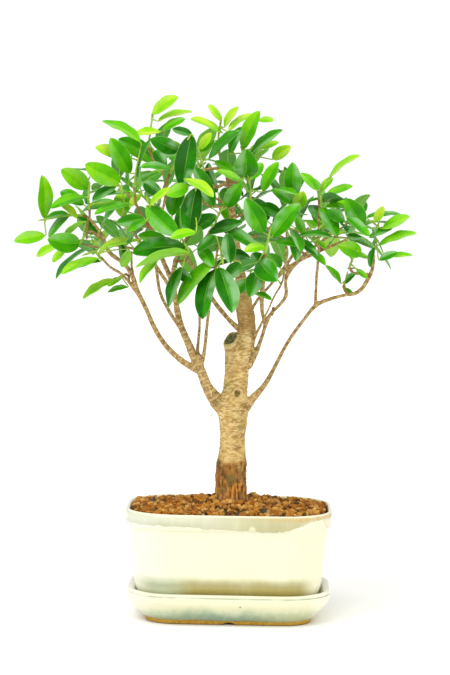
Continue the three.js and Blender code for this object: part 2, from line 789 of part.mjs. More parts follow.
// A blade lies from base to tip, with its width along side and its upper face along normal
function bladePoint(leaf, along, across) {
  const arch = LEAF_ARCH * leaf.length * 4 * along * (1 - along);
  return leaf.base
    .clone()
    .lerp(leaf.tip, along)
    .addScaledVector(leaf.normal, arch + LEAF_FOLD * Math.abs(across))
    .addScaledVector(leaf.side, across);
}

// A leaf drawn in the front elevation: it is rolled until it looks as wide as it is drawn
function drawnLeaf([bx, bz, tx, tz, width, lean = -1, face = 1], depth, shift, swing) {
  const drawnLength = Math.hypot(tx - bx, tz - bz);
  const fullLength = Math.max(width / LEAF_WIDTH_SHARE, LEAST_LEAN * drawnLength);
  const away = lean * Math.sqrt(fullLength ** 2 - drawnLength ** 2);
  const base = seen([bx, bz, depth + shift]);
  const tip = seen([tx, tz, depth + shift + away + swing]);
  const axis = tip.clone().sub(base).normalize();
  const sight = base.clone().add(tip).multiplyScalar(0.5).sub(FRONT_EYE).normalize();
  const flatSide = axis.clone().cross(sight).normalize().multiplyScalar(face);
  const flatNormal = axis.clone().cross(flatSide);
  const length = base.distanceTo(tip);
  const trueWidth = Math.max(LEAF_WIDTH_SHARE * length, width);
  const turn = Math.acos(width / trueWidth);
  const rolled = [1, -1].map((sign) => {
    const side = flatSide
      .clone()
      .multiplyScalar(Math.cos(turn))
      .addScaledVector(flatNormal, sign * Math.sin(turn));
    return { side, normal: axis.clone().cross(side) };
  });
  const { side, normal } = rolled[0].normal.z >= rolled[1].normal.z ? rolled[0] : rolled[1];
  return { base, tip, side, normal, halfWidth: trueWidth / 2, length };
}

function bladeRoom(leaf) {
  const rows = Math.ceil(leaf.length / SAMPLE_STEP);
  const points = [];
  for (let i = 0; i <= rows; i += 1) {
    const half = leaf.halfWidth * bladeWidth(i / rows);
    const columns = Math.max(1, Math.ceil((2 * half) / SAMPLE_STEP));
    for (let k = 0; k <= columns; k += 1) {
      points.push({ at: bladePoint(leaf, i / rows, half * ((2 * k) / columns - 1)), room: BLADE_ROOM });
    }
  }
  return points;
}

// The petiole leaves the stem at its nearest place, past the stem's first few millimetres
function petioleRoute(stem, leaf) {
  const level = stem.map(() => 0);
  let run = 0;
  let root = stem[stem.length - 1];
  let previous = stem[0];
  for (const { at } of pointsAlong(stem, level, STEM_STEP)) {
    run += at.distanceTo(previous);
    previous = at;
    if (run >= STEM_BARE_RUN && at.distanceTo(leaf.base) < root.distanceTo(leaf.base)) root = at;
  }
  return [root, leaf.base];
}

// Takes the first of the leaf's poses that is clear of its neighbours, or else the least crowded
function fitLeaf(owner, stem, poses) {
  let best = null;
  for (const leaf of poses) {
    const petiole = petioleRoute(stem, leaf);
    const thin = petiole.map(() => PETIOLE_RADIUS);
    const blade = bladeRoom(leaf);
    const stalk = roomAlong(petiole, thin, STEM_SPARE);
    const { others, own } = crowding(owner, [...blade, ...stalk]);
    const cost = OTHERS_WEIGHT * others + own;
    if (!best || cost < best.cost) best = { leaf, petiole, blade, stalk, others, cost };
    if (cost === 0) break;
  }
  return best;
}

// One closed solid from the petiole's root through the blade to its tip. A petiole that doubles back
// under its blade is a stalk of its own, sunk into the blade's base.
function leafSolid({ leaf, petiole }) {
  const { side, normal } = leaf;
  const kite = (at, half, rise, drop, across = side, up = normal) => [
    at.clone().addScaledVector(across, half).addScaledVector(up, rise * half),
    at.clone().addScaledVector(up, drop / 2),
    at.clone().addScaledVector(across, -half).addScaledVector(up, rise * half),
    at.clone().addScaledVector(up, -drop / 2),
  ];
  const stalkRing = (at, radius, direction) => {
    const across = side.clone().addScaledVector(direction, -side.dot(direction)).normalize();
    return kite(at, radius, 0, 2 * radius, across, direction.clone().cross(across));
  };
  const axis = leaf.tip.clone().sub(leaf.base).normalize();
  const heading = leaf.base.clone().sub(petiole[0]).normalize();
  const doublesBack = heading.dot(axis) < DOUBLES_BACK;
  const rings = [];
  if (doublesBack) {
    rings.push(stalkRing(leaf.base, PETIOLE_RADIUS, axis));
  } else {
    rings.push(stalkRing(petiole[0], PETIOLE_ROOT_RADIUS, heading));
    rings.push(stalkRing(leaf.base, PETIOLE_RADIUS, heading.clone().add(axis).normalize()));
  }
  const plain = leaf.plain || leaf.length < SMALL_LEAF;
  for (const { along, width } of plain ? SMALL_STATIONS : BLADE_STATIONS) {
    rings.push(kite(bladePoint(leaf, along, 0), leaf.halfWidth * width, LEAF_FOLD, LEAF_THICKNESS));
  }
  const blade = skin(rings, { apex: leaf.tip, mirrored: true });
  if (!doublesBack) return blade;
  const socket = bladePoint(leaf, STALK_SINK, 0);
  return blade.add(tube([petiole[0], socket], [PETIOLE_ROOT_RADIUS, PETIOLE_RADIUS], STEM_SIDES));
}

// The poses that a drawn leaf may take: along the line of sight, so it looks the same from the front
function drawnPoses(row, depth) {
  const poses = [];
  for (const shift of LEAF_SHIFTS) {
    for (const swing of LEAF_SWINGS) poses.push(drawnLeaf(row, depth, shift, swing));
  }
  return poses;
}

// The poses of a leaf set round a stem by rule: the same leaf, turned a little further each time
function spiralPoses(root, outward, angle, length) {
  const across = outward.clone().cross(UP).normalize();
  const second = outward.clone().cross(across);
  return LEAF_TURNS.map((turn) => {
    const spin = angle + THREE.MathUtils.degToRad(turn);
    const axis = outward
      .clone()
      .multiplyScalar(SPIRAL_OUT)
      .addScaledVector(across, SPIRAL_SPREAD * Math.cos(spin))
      .addScaledVector(second, SPIRAL_SPREAD * Math.sin(spin))
      .normalize();
    const base = root.clone().addScaledVector(axis, BACK_PETIOLE);
    const tip = base.clone().addScaledVector(axis, length);
    tip.z -= LEAF_DROOP * length;
    const along = tip.clone().sub(base).normalize();
    const side = UP.clone().cross(along).normalize();
    return {
      base, tip, side, normal: along.clone().cross(side),
      halfWidth: (LEAF_WIDTH_SHARE * length) / 2, length: base.distanceTo(tip), plain: true,
    };
  });
}

function frontShoots() {
  return Object.entries(FRONT_SHOOTS).map(([name, { base, stem, depth, leaves }]) => {
    const spots = [base, ...stem];
    const depthAt = (i) => depth[0] + ((depth[1] - depth[0]) * i) / (spots.length - 1);
    const route = spots.map(([x, z], i) => seen([x, z, depthAt(i)]));
    const leafDepth = (depth[0] + depth[1]) / 2;
    return { name, stem: route, leaves: leaves.map((row) => drawnPoses(row, leafDepth)) };
  });
}

function backShoots() {
  const random = makeRandom(CROWN_SEED);
  const between = ([least, most]) => least + (most - least) * random();
  const shoots = [];
  for (const { count, rise, from, to } of BACK_TIERS) {
    for (let i = 0; i < count; i += 1) {
      const angle = from + ((to - from) * (i + between(BACK_SPREAD))) / count;
      const turn = THREE.MathUtils.degToRad(angle);
      const lift = THREE.MathUtils.degToRad(rise + BACK_TILT * (random() - 0.5));
      const outward = new THREE.Vector3(
        Math.cos(turn) * Math.cos(lift), Math.sin(turn) * Math.cos(lift), Math.sin(lift),
      );
      const base = outward.clone().multiply(CROWN_HALF).multiplyScalar(between(BACK_START));
      base.z -= CROWN_FALL * Math.max(0, base.x) * Math.max(0, outward.z);
      base.add(CROWN_MIDDLE);
      const lean = outward.clone().add(new THREE.Vector3(0, 0, BACK_LIFT)).normalize();
      const stem = [base, base.clone().addScaledVector(lean, BACK_STEM)];
      const start = 2 * Math.PI * random();
      const leaves = [];
      for (let k = 0; k < BACK_LEAVES; k += 1) {
        const share = BACK_BARE + ((1 - BACK_BARE) * k) / (BACK_LEAVES - 1);
        const root = stem[0].clone().lerp(stem[1], share);
        leaves.push(spiralPoses(root, lean, start + k * GOLDEN_ANGLE, between(BACK_LEAF_LENGTH)));
      }
      shoots.push({ name: `back_${shoots.length + 1}`, stem, leaves });
    }
  }
  return shoots;
}

function addNode(group, name, solid, color, roughness) {
  const { vertProperties, triVerts } = solid.simplify(SMALLEST_EDGE).getMesh();
  const geometry = new THREE.BufferGeometry();
  geometry.setAttribute("position", new THREE.BufferAttribute(vertProperties, 3));
  geometry.setIndex(new THREE.BufferAttribute(triVerts, 1));
  geometry.computeVertexNormals();
  const material = new THREE.MeshStandardMaterial({ color, roughness, metalness: 0 });
  const mesh = new THREE.Mesh(geometry, material);
  mesh.name = name;
  group.add(mesh);
}

// Where the tree stands in the pot
const planting = new THREE.Matrix4()
  .makeRotationZ(PLANTED_TURN)
  .multiply(new THREE.Matrix4().makeTranslation(PLANTED_X, 0, 0))
  .multiply(new THREE.Matrix4().makeRotationY(-PLANTED_LEAN));

// The bed of granules: round the pot's wall, over the mound, and down into a plain hole for the trunk
function makeSoil() {
  const random = makeRandom(SOIL_SEED);
  const wall = [
    [POT_INSIDE[0][0] + FIT_GAP, POT_FLOOR + FIT_GAP],
    [POT_INSIDE[2][0] + FIT_GAP, POT_INSIDE[2][1]],
    [POT_INSIDE[4][0] + FIT_GAP, SOIL_EDGE_LEVEL - 2 * GRANULE_RISE],
  ].map((level) => potteryRing(level, SOIL_LONG_SPLIT, SOIL_SHORT_SPLIT));
  const edge = wall[wall.length - 1];
  const holeRing = (level) => {
    const outline = trunkRing(TRUNK_LEVELS[level], level, HOLE_SPARE);
    return edge.map((p) => {
      const angle = Math.atan2(p.y, p.x) + 2 * Math.PI;
      const place = (angle / (2 * Math.PI)) * TRUNK_SIDES;
      const from = outline[Math.floor(place) % TRUNK_SIDES];
      const to = outline[(Math.floor(place) + 1) % TRUNK_SIDES];
      return from.clone().lerp(to, place % 1).applyMatrix4(planting);
    });
  };
  const mouth = holeRing(2);
  const top = [];
  for (let ringIndex = 0; ringIndex <= SOIL_RINGS; ringIndex += 1) {
    const inward = ringIndex / SOIL_RINGS;
    const loose = ringIndex === 0 || ringIndex === SOIL_RINGS ? 0 : 1;
    top.push(
      edge.map((p, i) => {
        const point = p.clone().lerp(mouth[i], inward);
        const swell = SOIL_MOUND_RISE * inward * inward * (3 - 2 * inward);
        point.z = SOIL_EDGE_LEVEL + swell + GRANULE_RISE * (2 * random() - 1) * (loose || EDGE_RISE_SHARE);
        point.x += loose * GRANULE_SHIFT * (2 * random() - 1) * (1 - inward);
        point.y += loose * GRANULE_SHIFT * (2 * random() - 1) * (1 - inward);
        return point;
      }),
    );
  }
  const hole = [1, 0].map(holeRing);
  hole[1].forEach((p) => {
    p.z -= FIT_GAP;
  });
  let bed = skin([...wall, ...top, ...hole]);
  for (const x of [-DRAIN_HOLE_X, DRAIN_HOLE_X]) {
    const size = MESH_SIZE + 2 * FIT_GAP;
    const pocket = new THREE.BoxGeometry(size, size, 2 * (MESH_THICKNESS + 2 * FIT_GAP));
    pocket.translate(x, 0, POT_FLOOR);
    bed = bed.subtract(solidOf(pocket));
  }
  return bed;
}

const bonsai = new THREE.Group();
addNode(bonsai, "pot", makePot(), 0xf6f1d8, 0.25);
addNode(bonsai, "saucer", makeSaucer(), 0xe9efdf, 0.25);
addNode(bonsai, "drain_mesh_left", makeDrainMesh(-DRAIN_HOLE_X), 0x2b2b2b, 0.6);
addNode(bonsai, "drain_mesh_right", makeDrainMesh(DRAIN_HOLE_X), 0x2b2b2b, 0.6);
addNode(bonsai, "soil", makeSoil(), 0x9a5a24, 0.9);

const tree = new THREE.Group();
tree.applyMatrix4(planting);
bonsai.add(tree);

const { x: knotX, z: knotZ, front: knotFront, radius: knotRadius } = PRUNING_KNOT;
const knotRoute = [seen([knotX, knotZ, -knotFront / 2]), seen([knotX, knotZ, -knotFront])];
const knot = tube(knotRoute, [knotRadius, KNOT_TAPER * knotRadius], KNOT_SIDES);
const woodPieces = [makeTrunk(), knot];
for (const name of Object.keys(LIMBS)) {
  const points = limbPoints(name);
  const radii = limbRadii(name);
  woodPieces.push(tube(points, radii, LIMBS[name][0], name === "pruned_stub" ? CUT_FACE : null));
  settle("wood", roomAlong(points, radii, WOOD_SPARE));
}
const shoots = [...frontShoots(), ...backShoots()];
for (const { name, stem } of shoots) {
  const direction = stem[1].clone().sub(stem[0]).normalize();
  const twig = twigRoute(stem[0], direction);
  woodPieces.push(tube(twig.points, twig.radii, TWIG_SIDES, direction));
  settle("wood", roomAlong(twig.points, twig.radii, WOOD_SPARE));
  settle(name, roomAlong(stem, stem.map(() => GREEN_STEM_RADIUS), STEM_SPARE));
}
addNode(tree, "wood", wasm.Manifold.union(woodPieces), 0xa98555, 0.85);

for (const { name, stem, leaves } of shoots) {
  const solids = [tube(stem, stem.map(() => GREEN_STEM_RADIUS), STEM_SIDES)];
  for (const poses of leaves) {
    const fitted = fitLeaf(name, stem, poses);
    if (fitted.others > MOST_CROWDING) continue;
    settle(name, fitted.blade, true);
    settle(name, fitted.stalk);
    solids.push(leafSolid(fitted));
  }
  addNode(tree, name, wasm.Manifold.union(solids), 0x3fa321, 0.35);
}

// The origin is under the middle of the whole outline, crown and all
const outline = new THREE.Box3().setFromObject(bonsai, true);
const middle = outline.getCenter(new THREE.Vector3());
bonsai.position.set(-middle.x, -middle.y, 0);
const part = new THREE.Group();
part.add(bonsai);

export default part;
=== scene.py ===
"""Broom-style ficus bonsai in its glazed pot and drip saucer: the looks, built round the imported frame.

Named sizes are in millimetres, and the tables of the tree are drawn in its front elevation. The finishes read
the frame's own metres.
"""

import math

import bmesh
import bpy
import numpy as np
from mathutils import Matrix, Vector, noise


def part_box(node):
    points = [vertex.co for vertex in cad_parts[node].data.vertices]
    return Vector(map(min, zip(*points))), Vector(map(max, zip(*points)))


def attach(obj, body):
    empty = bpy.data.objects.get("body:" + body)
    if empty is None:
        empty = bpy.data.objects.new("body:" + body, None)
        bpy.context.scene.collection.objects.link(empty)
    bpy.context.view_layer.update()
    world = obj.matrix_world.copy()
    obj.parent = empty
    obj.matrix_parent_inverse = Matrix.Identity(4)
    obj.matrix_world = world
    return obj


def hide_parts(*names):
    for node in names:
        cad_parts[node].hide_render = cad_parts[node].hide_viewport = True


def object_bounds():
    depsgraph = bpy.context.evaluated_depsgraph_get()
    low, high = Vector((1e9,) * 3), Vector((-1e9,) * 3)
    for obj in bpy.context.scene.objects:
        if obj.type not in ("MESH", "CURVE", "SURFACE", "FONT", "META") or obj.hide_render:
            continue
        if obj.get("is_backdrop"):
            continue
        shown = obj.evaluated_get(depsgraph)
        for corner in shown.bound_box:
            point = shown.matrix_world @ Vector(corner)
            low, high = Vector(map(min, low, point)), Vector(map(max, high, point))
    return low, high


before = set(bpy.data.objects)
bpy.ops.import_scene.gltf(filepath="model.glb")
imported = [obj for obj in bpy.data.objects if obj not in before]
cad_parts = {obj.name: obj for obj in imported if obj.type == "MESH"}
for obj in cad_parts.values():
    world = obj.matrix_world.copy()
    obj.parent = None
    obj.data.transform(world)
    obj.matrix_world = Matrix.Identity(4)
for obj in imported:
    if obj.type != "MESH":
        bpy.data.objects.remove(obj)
CAD_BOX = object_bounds()

MM = 0.001
pot_low, pot_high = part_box("pot")
POT_CENTRE = (pot_low + pot_high) / 2
POT_AXIS = Matrix.Translation((POT_CENTRE.x, POT_CENTRE.y, 0))

# How far the tree is turned and leans to the left in its pot, and is planted right of the middle
PLANTED_TURN = math.radians(1)
PLANTED_LEAN = math.radians(0.9)
PLANTED_X = 1
PLANTING = (
    POT_AXIS
    @ Matrix.Rotation(PLANTED_TURN, 4, "Z")
    @ Matrix.Translation((PLANTED_X * MM, 0, 0))
    @ Matrix.Rotation(-PLANTED_LEAN, 4, "Y")
)

# The front elevation's places are seen from here, so a place further back is drawn out in proportion
EYE = np.array([-3.5, -2600.0, 490.0])
AIM = np.array([-3.5, 0.0, 281.4])
VIEW_X = 3.5
CAMERA_ROLL = math.radians(0.9)
LENS = 138.7
ROOM_LIGHT = 0.72
BACKDROP_WHITE = 1.05
FLOOR_SIZE = 12

TUBE_STEPS = 4


def pot_place(point):
    """A point of the pottery, in millimetres from the pot's axis, in the row frame"""
    x, y, z = point
    return Vector((POT_CENTRE.x + x * MM, POT_CENTRE.y + y * MM, z * MM))


def tree_places(points):
    """Points of the tree's own frame, in millimetres, in the row frame"""
    planting = np.array(PLANTING)
    return np.asarray(points, float) * MM @ planting[:3, :3].T + planting[:3, 3]


def tree_frame(places):
    """Points of the row frame in the tree's own frame, in millimetres"""
    back = np.array(PLANTING.inverted())
    return (np.asarray(places, float) @ back[:3, :3].T + back[:3, 3]) / MM


def seen(x, z, y):
    """A front-elevation place at depth y, in the tree's frame"""
    stretch = 1 - y / EYE[1]
    return np.array([EYE[0] + (x - EYE[0]) * stretch, y, EYE[2] + (z - EYE[2]) * stretch])


def unit(vector):
    return vector / np.linalg.norm(vector)


def make_random(seed):
    """A repeatable random draw between 0 and 1"""
    modulus = 2147483647
    state = seed

    def draw():
        nonlocal state
        state = (state * 16807) % modulus
        return state / modulus

    return draw


# Hand work on a mesh: what is picked, joined, shaped and finished


def pick(*objects):
    """These objects and no others are selected, the first one active"""
    bpy.ops.object.select_all(action="DESELECT")
    for o in objects:
        o.select_set(True)
    bpy.context.view_layer.objects.active = objects[0]


def leave_edit():
    bpy.ops.object.mode_set(mode="OBJECT")


def select_points(piece, wanted):
    """In edit mode, selects the vertices that a test accepts"""
    form = bmesh.from_edit_mesh(piece.data)
    for part in (form.verts, form.edges, form.faces):
        for element in part:
            element.select = False
    for vertex in form.verts:
        vertex.select = wanted(vertex)
    form.select_flush(True)
    bmesh.update_edit_mesh(piece.data)


def join(name, pieces):
    pick(*pieces)
    if len(pieces) > 1:
        bpy.ops.object.join()
    piece = bpy.context.object
    piece.name = name
    piece.data.name = name
    return piece


def settle_place(piece):
    """The piece's place goes into its mesh, and its object to the origin"""
    pick(piece)
    bpy.ops.object.transform_apply(location=True, rotation=True, scale=True)


def finish_with(piece, kind, **settings):
    """Adds one modifier and applies it"""
    pick(piece)
    modifier = piece.modifiers.new(kind.title(), kind)
    for key, value in settings.items():
        setattr(modifier, key, value)
    bpy.ops.object.modifier_apply(modifier=modifier.name)


def subdivide_smooth(piece, levels):
    finish_with(piece, "SUBSURF", levels=levels, render_levels=levels)


def start_from(add_primitive, **settings):
    """A new primitive to shape, with nothing else selected"""
    bpy.ops.object.select_all(action="DESELECT")
    add_primitive(**settings)
    return bpy.context.object


def face_outwards(piece):
    pick(piece)
    bpy.ops.object.mode_set(mode="EDIT")
    bpy.ops.mesh.select_all(action="SELECT")
    bpy.ops.mesh.normals_make_consistent(inside=False)
    leave_edit()


def shade(piece, angle=60):
    pick(piece)
    bpy.ops.object.shade_smooth_by_angle(angle=math.radians(angle))


def points_of(mesh):
    places = np.zeros(len(mesh.vertices) * 3)
    mesh.vertices.foreach_get("co", places)
    return places.reshape(-1, 3)


def normals_of(mesh):
    directions = np.zeros(len(mesh.vertices) * 3, np.float32)
    mesh.vertex_normals.foreach_get("vector", directions)
    return directions.reshape(-1, 3).astype(float)


def move_points(mesh, places):
    mesh.vertices.foreach_set("co", np.asarray(places, np.float32).ravel())
    mesh.update()


def mark(mesh, name, values):
    """Keeps a number for each vertex, for the piece's material to read"""
    layer = mesh.attributes.get(name) or mesh.attributes.new(name, "FLOAT", "POINT")
    layer.data.foreach_set("value", np.broadcast_to(values, len(mesh.vertices)).astype(np.float32))


def drawn_tubes(name, routes, sides, smooth=True):
    """One mesh of round tapering tubes, each a run of places and radii in the tree's millimetres"""
    drawing = bpy.data.curves.new(name, "CURVE")
    drawing.dimensions = "3D"
    drawing.bevel_depth = MM
    drawing.bevel_resolution = sides // 2 - 2
    drawing.use_fill_caps = True
    drawing.resolution_u = TUBE_STEPS
    for places, radii in routes:
        line = drawing.splines.new("BEZIER" if smooth else "POLY")
        points = line.bezier_points if smooth else line.points
        points.add(len(places) - 1)
        for point, place, radius in zip(points, tree_places(places), radii):
            if smooth:
                point.co = place
                point.handle_left_type = point.handle_right_type = "AUTO"
            else:
                point.co = (*place, 1)
            point.radius = radius
    piece = bpy.data.objects.new(name, drawing)
    bpy.context.collection.objects.link(piece)
    pick(piece)
    bpy.ops.object.convert(target="MESH")
    return bpy.context.object


def hand_in(piece, slot, *nodes):
    """The piece joins the object, and stands for the CAD nodes named"""
    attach(piece, "root")
    if nodes:
        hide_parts(*nodes)


# Finishes


def redress(name, material):
    """Gives a CAD piece that stays its finish"""
    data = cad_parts[name].data
    data.materials.clear()
    data.materials.append(material)


def colour(code):
    """A screen colour as the linear colour that a socket takes"""
    channels = [int(code[i : i + 2], 16) / 255 for i in (1, 3, 5)]
    return (*[c / 12.92 if c <= 0.04045 else ((c + 0.055) / 1.055) ** 2.4 for c in channels], 1)


class Finish:
    """A material in the making: each call adds a node and gives back the socket to use next"""

    def __init__(self, name, **sockets):
        self.material = bpy.data.materials.new(name)
        self.material.use_nodes = True
        self.tree = self.material.node_tree
        self.shader = self.tree.nodes["Principled BSDF"]
        for key, value in sockets.items():
            self.shader.inputs[key.replace("_", " ")].default_value = value
        self.object = self.add("ShaderNodeTexCoord").outputs["Object"]

    def add(self, kind, inputs=(), **settings):
        node = self.tree.nodes.new(kind)
        for key, value in settings.items():
            setattr(node, key, value)
        for key, value in dict(inputs).items():
            self.join(value, node.inputs[key])
        return node

    def join(self, value, socket):
        """A socket takes another's value, a number, or a colour given by its screen code"""
        if isinstance(value, bpy.types.NodeSocket):
            self.tree.links.new(value, socket)
        elif isinstance(value, str):
            socket.default_value = colour(value)
        else:
            socket.default_value = value

    def set(self, name, value):
        self.join(value, self.shader.inputs[name])

    def math(self, operation, first, *others):
        """The operation carried on from the first value through the others"""
        for other in others or (0.0,):
            first = self.add("ShaderNodeMath", {0: first, 1: other}, operation=operation).outputs[0]
        return first

    def times(self, *values):
        return self.math("MULTIPLY", *values)

    def plus(self, *values):
        return self.math("ADD", *values)

    def mix(self, share, a, b, blend="MIX"):
        node = self.add("ShaderNodeMix", {"Factor": share}, data_type="RGBA", blend_type=blend)
        self.join(a, node.inputs[6])
        self.join(b, node.inputs[7])
        return node.outputs[2]

    def layers(self, surface, *coats):
        """Coats laid over the surface one after another, each as the share that it covers and its colour"""
        for share, coat in coats:
            surface = self.mix(share, surface, coat)
        return surface

    def ramp(self, value, *stops):
        """Colours at places along 0 to 1"""
        node = self.add("ShaderNodeValToRGB", {0: value})
        band = node.color_ramp
        while len(band.elements) < len(stops):
            band.elements.new(0.5)
        for element, (place, code) in zip(band.elements, stops):
            element.position = place
            element.color = colour(code)
        return node.outputs[0]

    def fade(self, value, low, high, start=0.0, end=1.0):
        """From start at low to end at high, smoothly, and no further"""
        node = self.add("ShaderNodeMapRange", {0: value, 1: low, 2: high, 3: start, 4: end})
        node.interpolation_type = "SMOOTHSTEP"
        return node.outputs[0]

    def noise(self, scale, detail=3.0, rough=0.55, stretch=None, warp=0.0):
        """Noise on the object's coordinates, which a stretch gives a scale of their own on each axis"""
        place = self.object
        if stretch:
            place = self.add("ShaderNodeMapping", {"Vector": place, "Scale": stretch}).outputs[0]
        values = {"Vector": place, "Scale": scale, "Detail": detail, "Roughness": rough, "Distortion": warp}
        return self.add("ShaderNodeTexNoise", values).outputs[0]

    def cells(self, scale, output="Distance"):
        return self.add("ShaderNodeTexVoronoi", {"Scale": scale, "Vector": self.object}).outputs[output]

    def axes(self):
        return self.add("ShaderNodeSeparateXYZ", {0: self.object}).outputs

    def number(self, name):
        """The number that the mesh keeps for each vertex under this name"""
        return self.add("ShaderNodeAttribute", attribute_name=name).outputs["Fac"]

    def bump(self, height, distance, strength=1.0):
        values = {"Height": height, "Distance": distance, "Strength": strength}
        node = self.add("ShaderNodeBump", values)
        self.set("Normal", node.outputs[0])


# Camera, light and floor


def set_camera():
    camera = bpy.data.objects.new("camera", bpy.data.cameras.new("camera"))
    bpy.context.collection.objects.link(camera)
    front = POT_AXIS @ Matrix.Rotation(PLANTED_TURN, 4, "Z") @ Matrix.Translation((-VIEW_X * MM, 0, 0))
    eye, aim = front @ Vector(EYE * MM), front @ Vector(AIM * MM)
    level = (aim - eye).to_track_quat("-Z", "Y").to_matrix()
    camera.location = eye
    camera.rotation_euler = (level @ Matrix.Rotation(CAMERA_ROLL, 3, "Z")).to_euler()
    camera.data.lens = LENS
    camera.data.clip_end = 20
    bpy.context.scene.camera = camera


def add_softlight(name, come_from, strength, spread, tint):
    """A broad soft light from far off, even over the whole floor"""
    data = bpy.data.lights.new(name, "SUN")
    data.energy = strength
    data.angle = math.radians(spread)
    data.color = colour(tint)[:3]
    light = bpy.data.objects.new(name, data)
    bpy.context.collection.objects.link(light)
    light.location = come_from
    light.rotation_euler = (-light.location).to_track_quat("-Z", "Y").to_euler()


def set_studio():
    """White all round, a little dimmer as a light than it looks, with a key light and a fill"""
    world = bpy.data.worlds.new("studio")
    world.use_nodes = True
    nodes = world.node_tree.nodes
    background = nodes["Background"]
    background.inputs["Color"].default_value = (1, 1, 1, 1)
    looked_at = nodes.new("ShaderNodeLightPath").outputs["Is Camera Ray"]
    level = nodes.new("ShaderNodeMapRange")
    level.inputs["To Min"].default_value = ROOM_LIGHT
    level.inputs["To Max"].default_value = BACKDROP_WHITE
    world.node_tree.links.new(looked_at, level.inputs["Value"])
    world.node_tree.links.new(level.outputs[0], background.inputs["Strength"])
    scene = bpy.context.scene
    scene.world = world
    scene.view_settings.view_transform = "Standard"
    add_softlight("key_light", (-0.6, -0.9, 1.3), 1.7, 45, "#FFFDF8")
    add_softlight("fill_light", (1.0, -0.6, 0.9), 0.9, 60, "#FFFBF2")

    floor = start_from(bpy.ops.mesh.primitive_plane_add, size=FLOOR_SIZE)
    floor.name = "floor"
    paper = Finish("white_paper_sweep", Roughness=0.9, Specular_IOR_Level=0.1)
    grain = paper.noise(900, detail=2)
    paper.set("Base Color", paper.mix(paper.fade(grain, 0.3, 0.7), "#FCFCFA", "#FEFEFD"))
    floor.data.materials.append(paper.material)
    floor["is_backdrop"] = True


set_camera()
set_studio()

# Pottery: a rounded rectangle raised level by level, each level drawn in from the rim's outline

# The rim's outline from above, the notch in the saucer's foot, and the drainage holes
RIM_HALF_WIDTH = 104
RIM_HALF_DEPTH = 76
RIM_CORNER_RADIUS = 51
CORNER_STEPS = 8
SAUCER_SHIFT = 1
NOTCH_X = 1.2
NOTCH_HALF_WIDTH = 6.8
NOTCH_HEIGHT = 3.8
NOTCH_SINK = 1
DRAIN_HOLE_RADIUS = 7
DRAIN_HOLE_X = 38
DRAIN_HOLE_LEVEL = 14
BAR_SIDES = 40
SHARP_POTTERY_EDGE = 40

# Each level's inset from the rim's outline and its height, from under the foot over the lip to the inside
POT_LEVELS = [
    (36, 12), (34, 12), (33, 9.7), (32.4, 9.5), (27, 9.5), (26.3, 9.8), (25.5, 12.5), (22.6, 15.2),
    (19.4, 18), (16.8, 21.6), (14.6, 26), (12.6, 30.6), (11, 36), (9.7, 42), (8.8, 49), (6.2, 72),
    (3.7, 93.6), (3.3, 95.2), (1.4, 96.3), (0.4, 97.8), (0, 102), (0, 107), (0.7, 110.4), (2.2, 112),
    (3.8, 112.1), (4.9, 110.8), (5.6, 107), (7.2, 98), (12, 50), (15, 32), (22, 21), (26, 17.6), (32, 17),
]
SAUCER_LEVELS = [
    (30, 3.2), (28, 3.2), (27, 0.3), (26.4, 0), (21.4, 0), (20.9, 0.5), (20.5, 3.6), (20, 4.1),
    (18.4, 5.2), (14.6, 8.2), (11, 11.6), (9, 14), (7.4, 16.2), (5.4, 18.6), (3.7, 20.8), (2.7, 22.8),
    (2.3, 25), (2.2, 28), (2.5, 28.9), (3, 29.3), (2.7, 29.8), (2.5, 30.8), (3, 32), (4.4, 32.7),
    (6.4, 32.6), (8, 31.8), (9.4, 30.9), (10.8, 29), (12, 27), (13.4, 24.2), (16.4, 17), (19.2, 12.4),
    (22, 9.3), (27, 9.2),
]


def raise_form(name, levels, shift=0):
    """Starts from one flat rounded rectangle and extrudes it from level to level, to its inner floor"""
    inset, height = levels[0]
    form = start_from(bpy.ops.mesh.primitive_plane_add, size=2 * MM)
    bpy.ops.object.mode_set(mode="EDIT")
    bpy.ops.transform.resize(value=(RIM_HALF_WIDTH - inset, RIM_HALF_DEPTH - inset, 1))
    bpy.ops.transform.translate(value=(0, 0, height * MM))
    corner = (RIM_CORNER_RADIUS - inset) * MM
    bpy.ops.mesh.bevel(offset=corner, segments=CORNER_STEPS, affect="VERTICES")
    corner_x = (RIM_HALF_WIDTH - RIM_CORNER_RADIUS) * MM
    corner_y = (RIM_HALF_DEPTH - RIM_CORNER_RADIUS) * MM
    for (inset, height), (next_inset, next_height) in zip(levels, levels[1:]):
        rise = (next_height - height) * MM
        bpy.ops.mesh.extrude_region_move(TRANSFORM_OT_translate={"value": (0, 0, rise)})
        ring = {v.index for v in bmesh.from_edit_mesh(form.data).verts if v.select}
        growth = (RIM_CORNER_RADIUS - next_inset) / (RIM_CORNER_RADIUS - inset)
        for side in (-1, 1):
            for end in (-1, 1):
                select_points(form, lambda v: v.index in ring and v.co.x * side > 0 and v.co.y * end > 0)
                centre = Vector((side * corner_x, end * corner_y, next_height * MM))
                bpy.ops.transform.resize(value=(growth, growth, 1), center_override=centre)
        select_points(form, lambda v: v.index in ring)
    leave_edit()
    form.location = pot_place((shift, 0, 0))
    settle_place(form)
    form.name = name
    face_outwards(form)
    subdivide_smooth(form, 2)
    return form


def cut_away(piece, cutter):
    """Takes one closed shape out of another"""
    finish_with(piece, "BOOLEAN", object=cutter, operation="DIFFERENCE", solver="EXACT")
    bpy.data.objects.remove(cutter)


def bar(radius, length, place, turn=(0, 0, 0)):
    return start_from(
        bpy.ops.mesh.primitive_cylinder_add,
        vertices=BAR_SIDES, radius=radius * MM, depth=length * MM, location=pot_place(place), rotation=turn,
    )


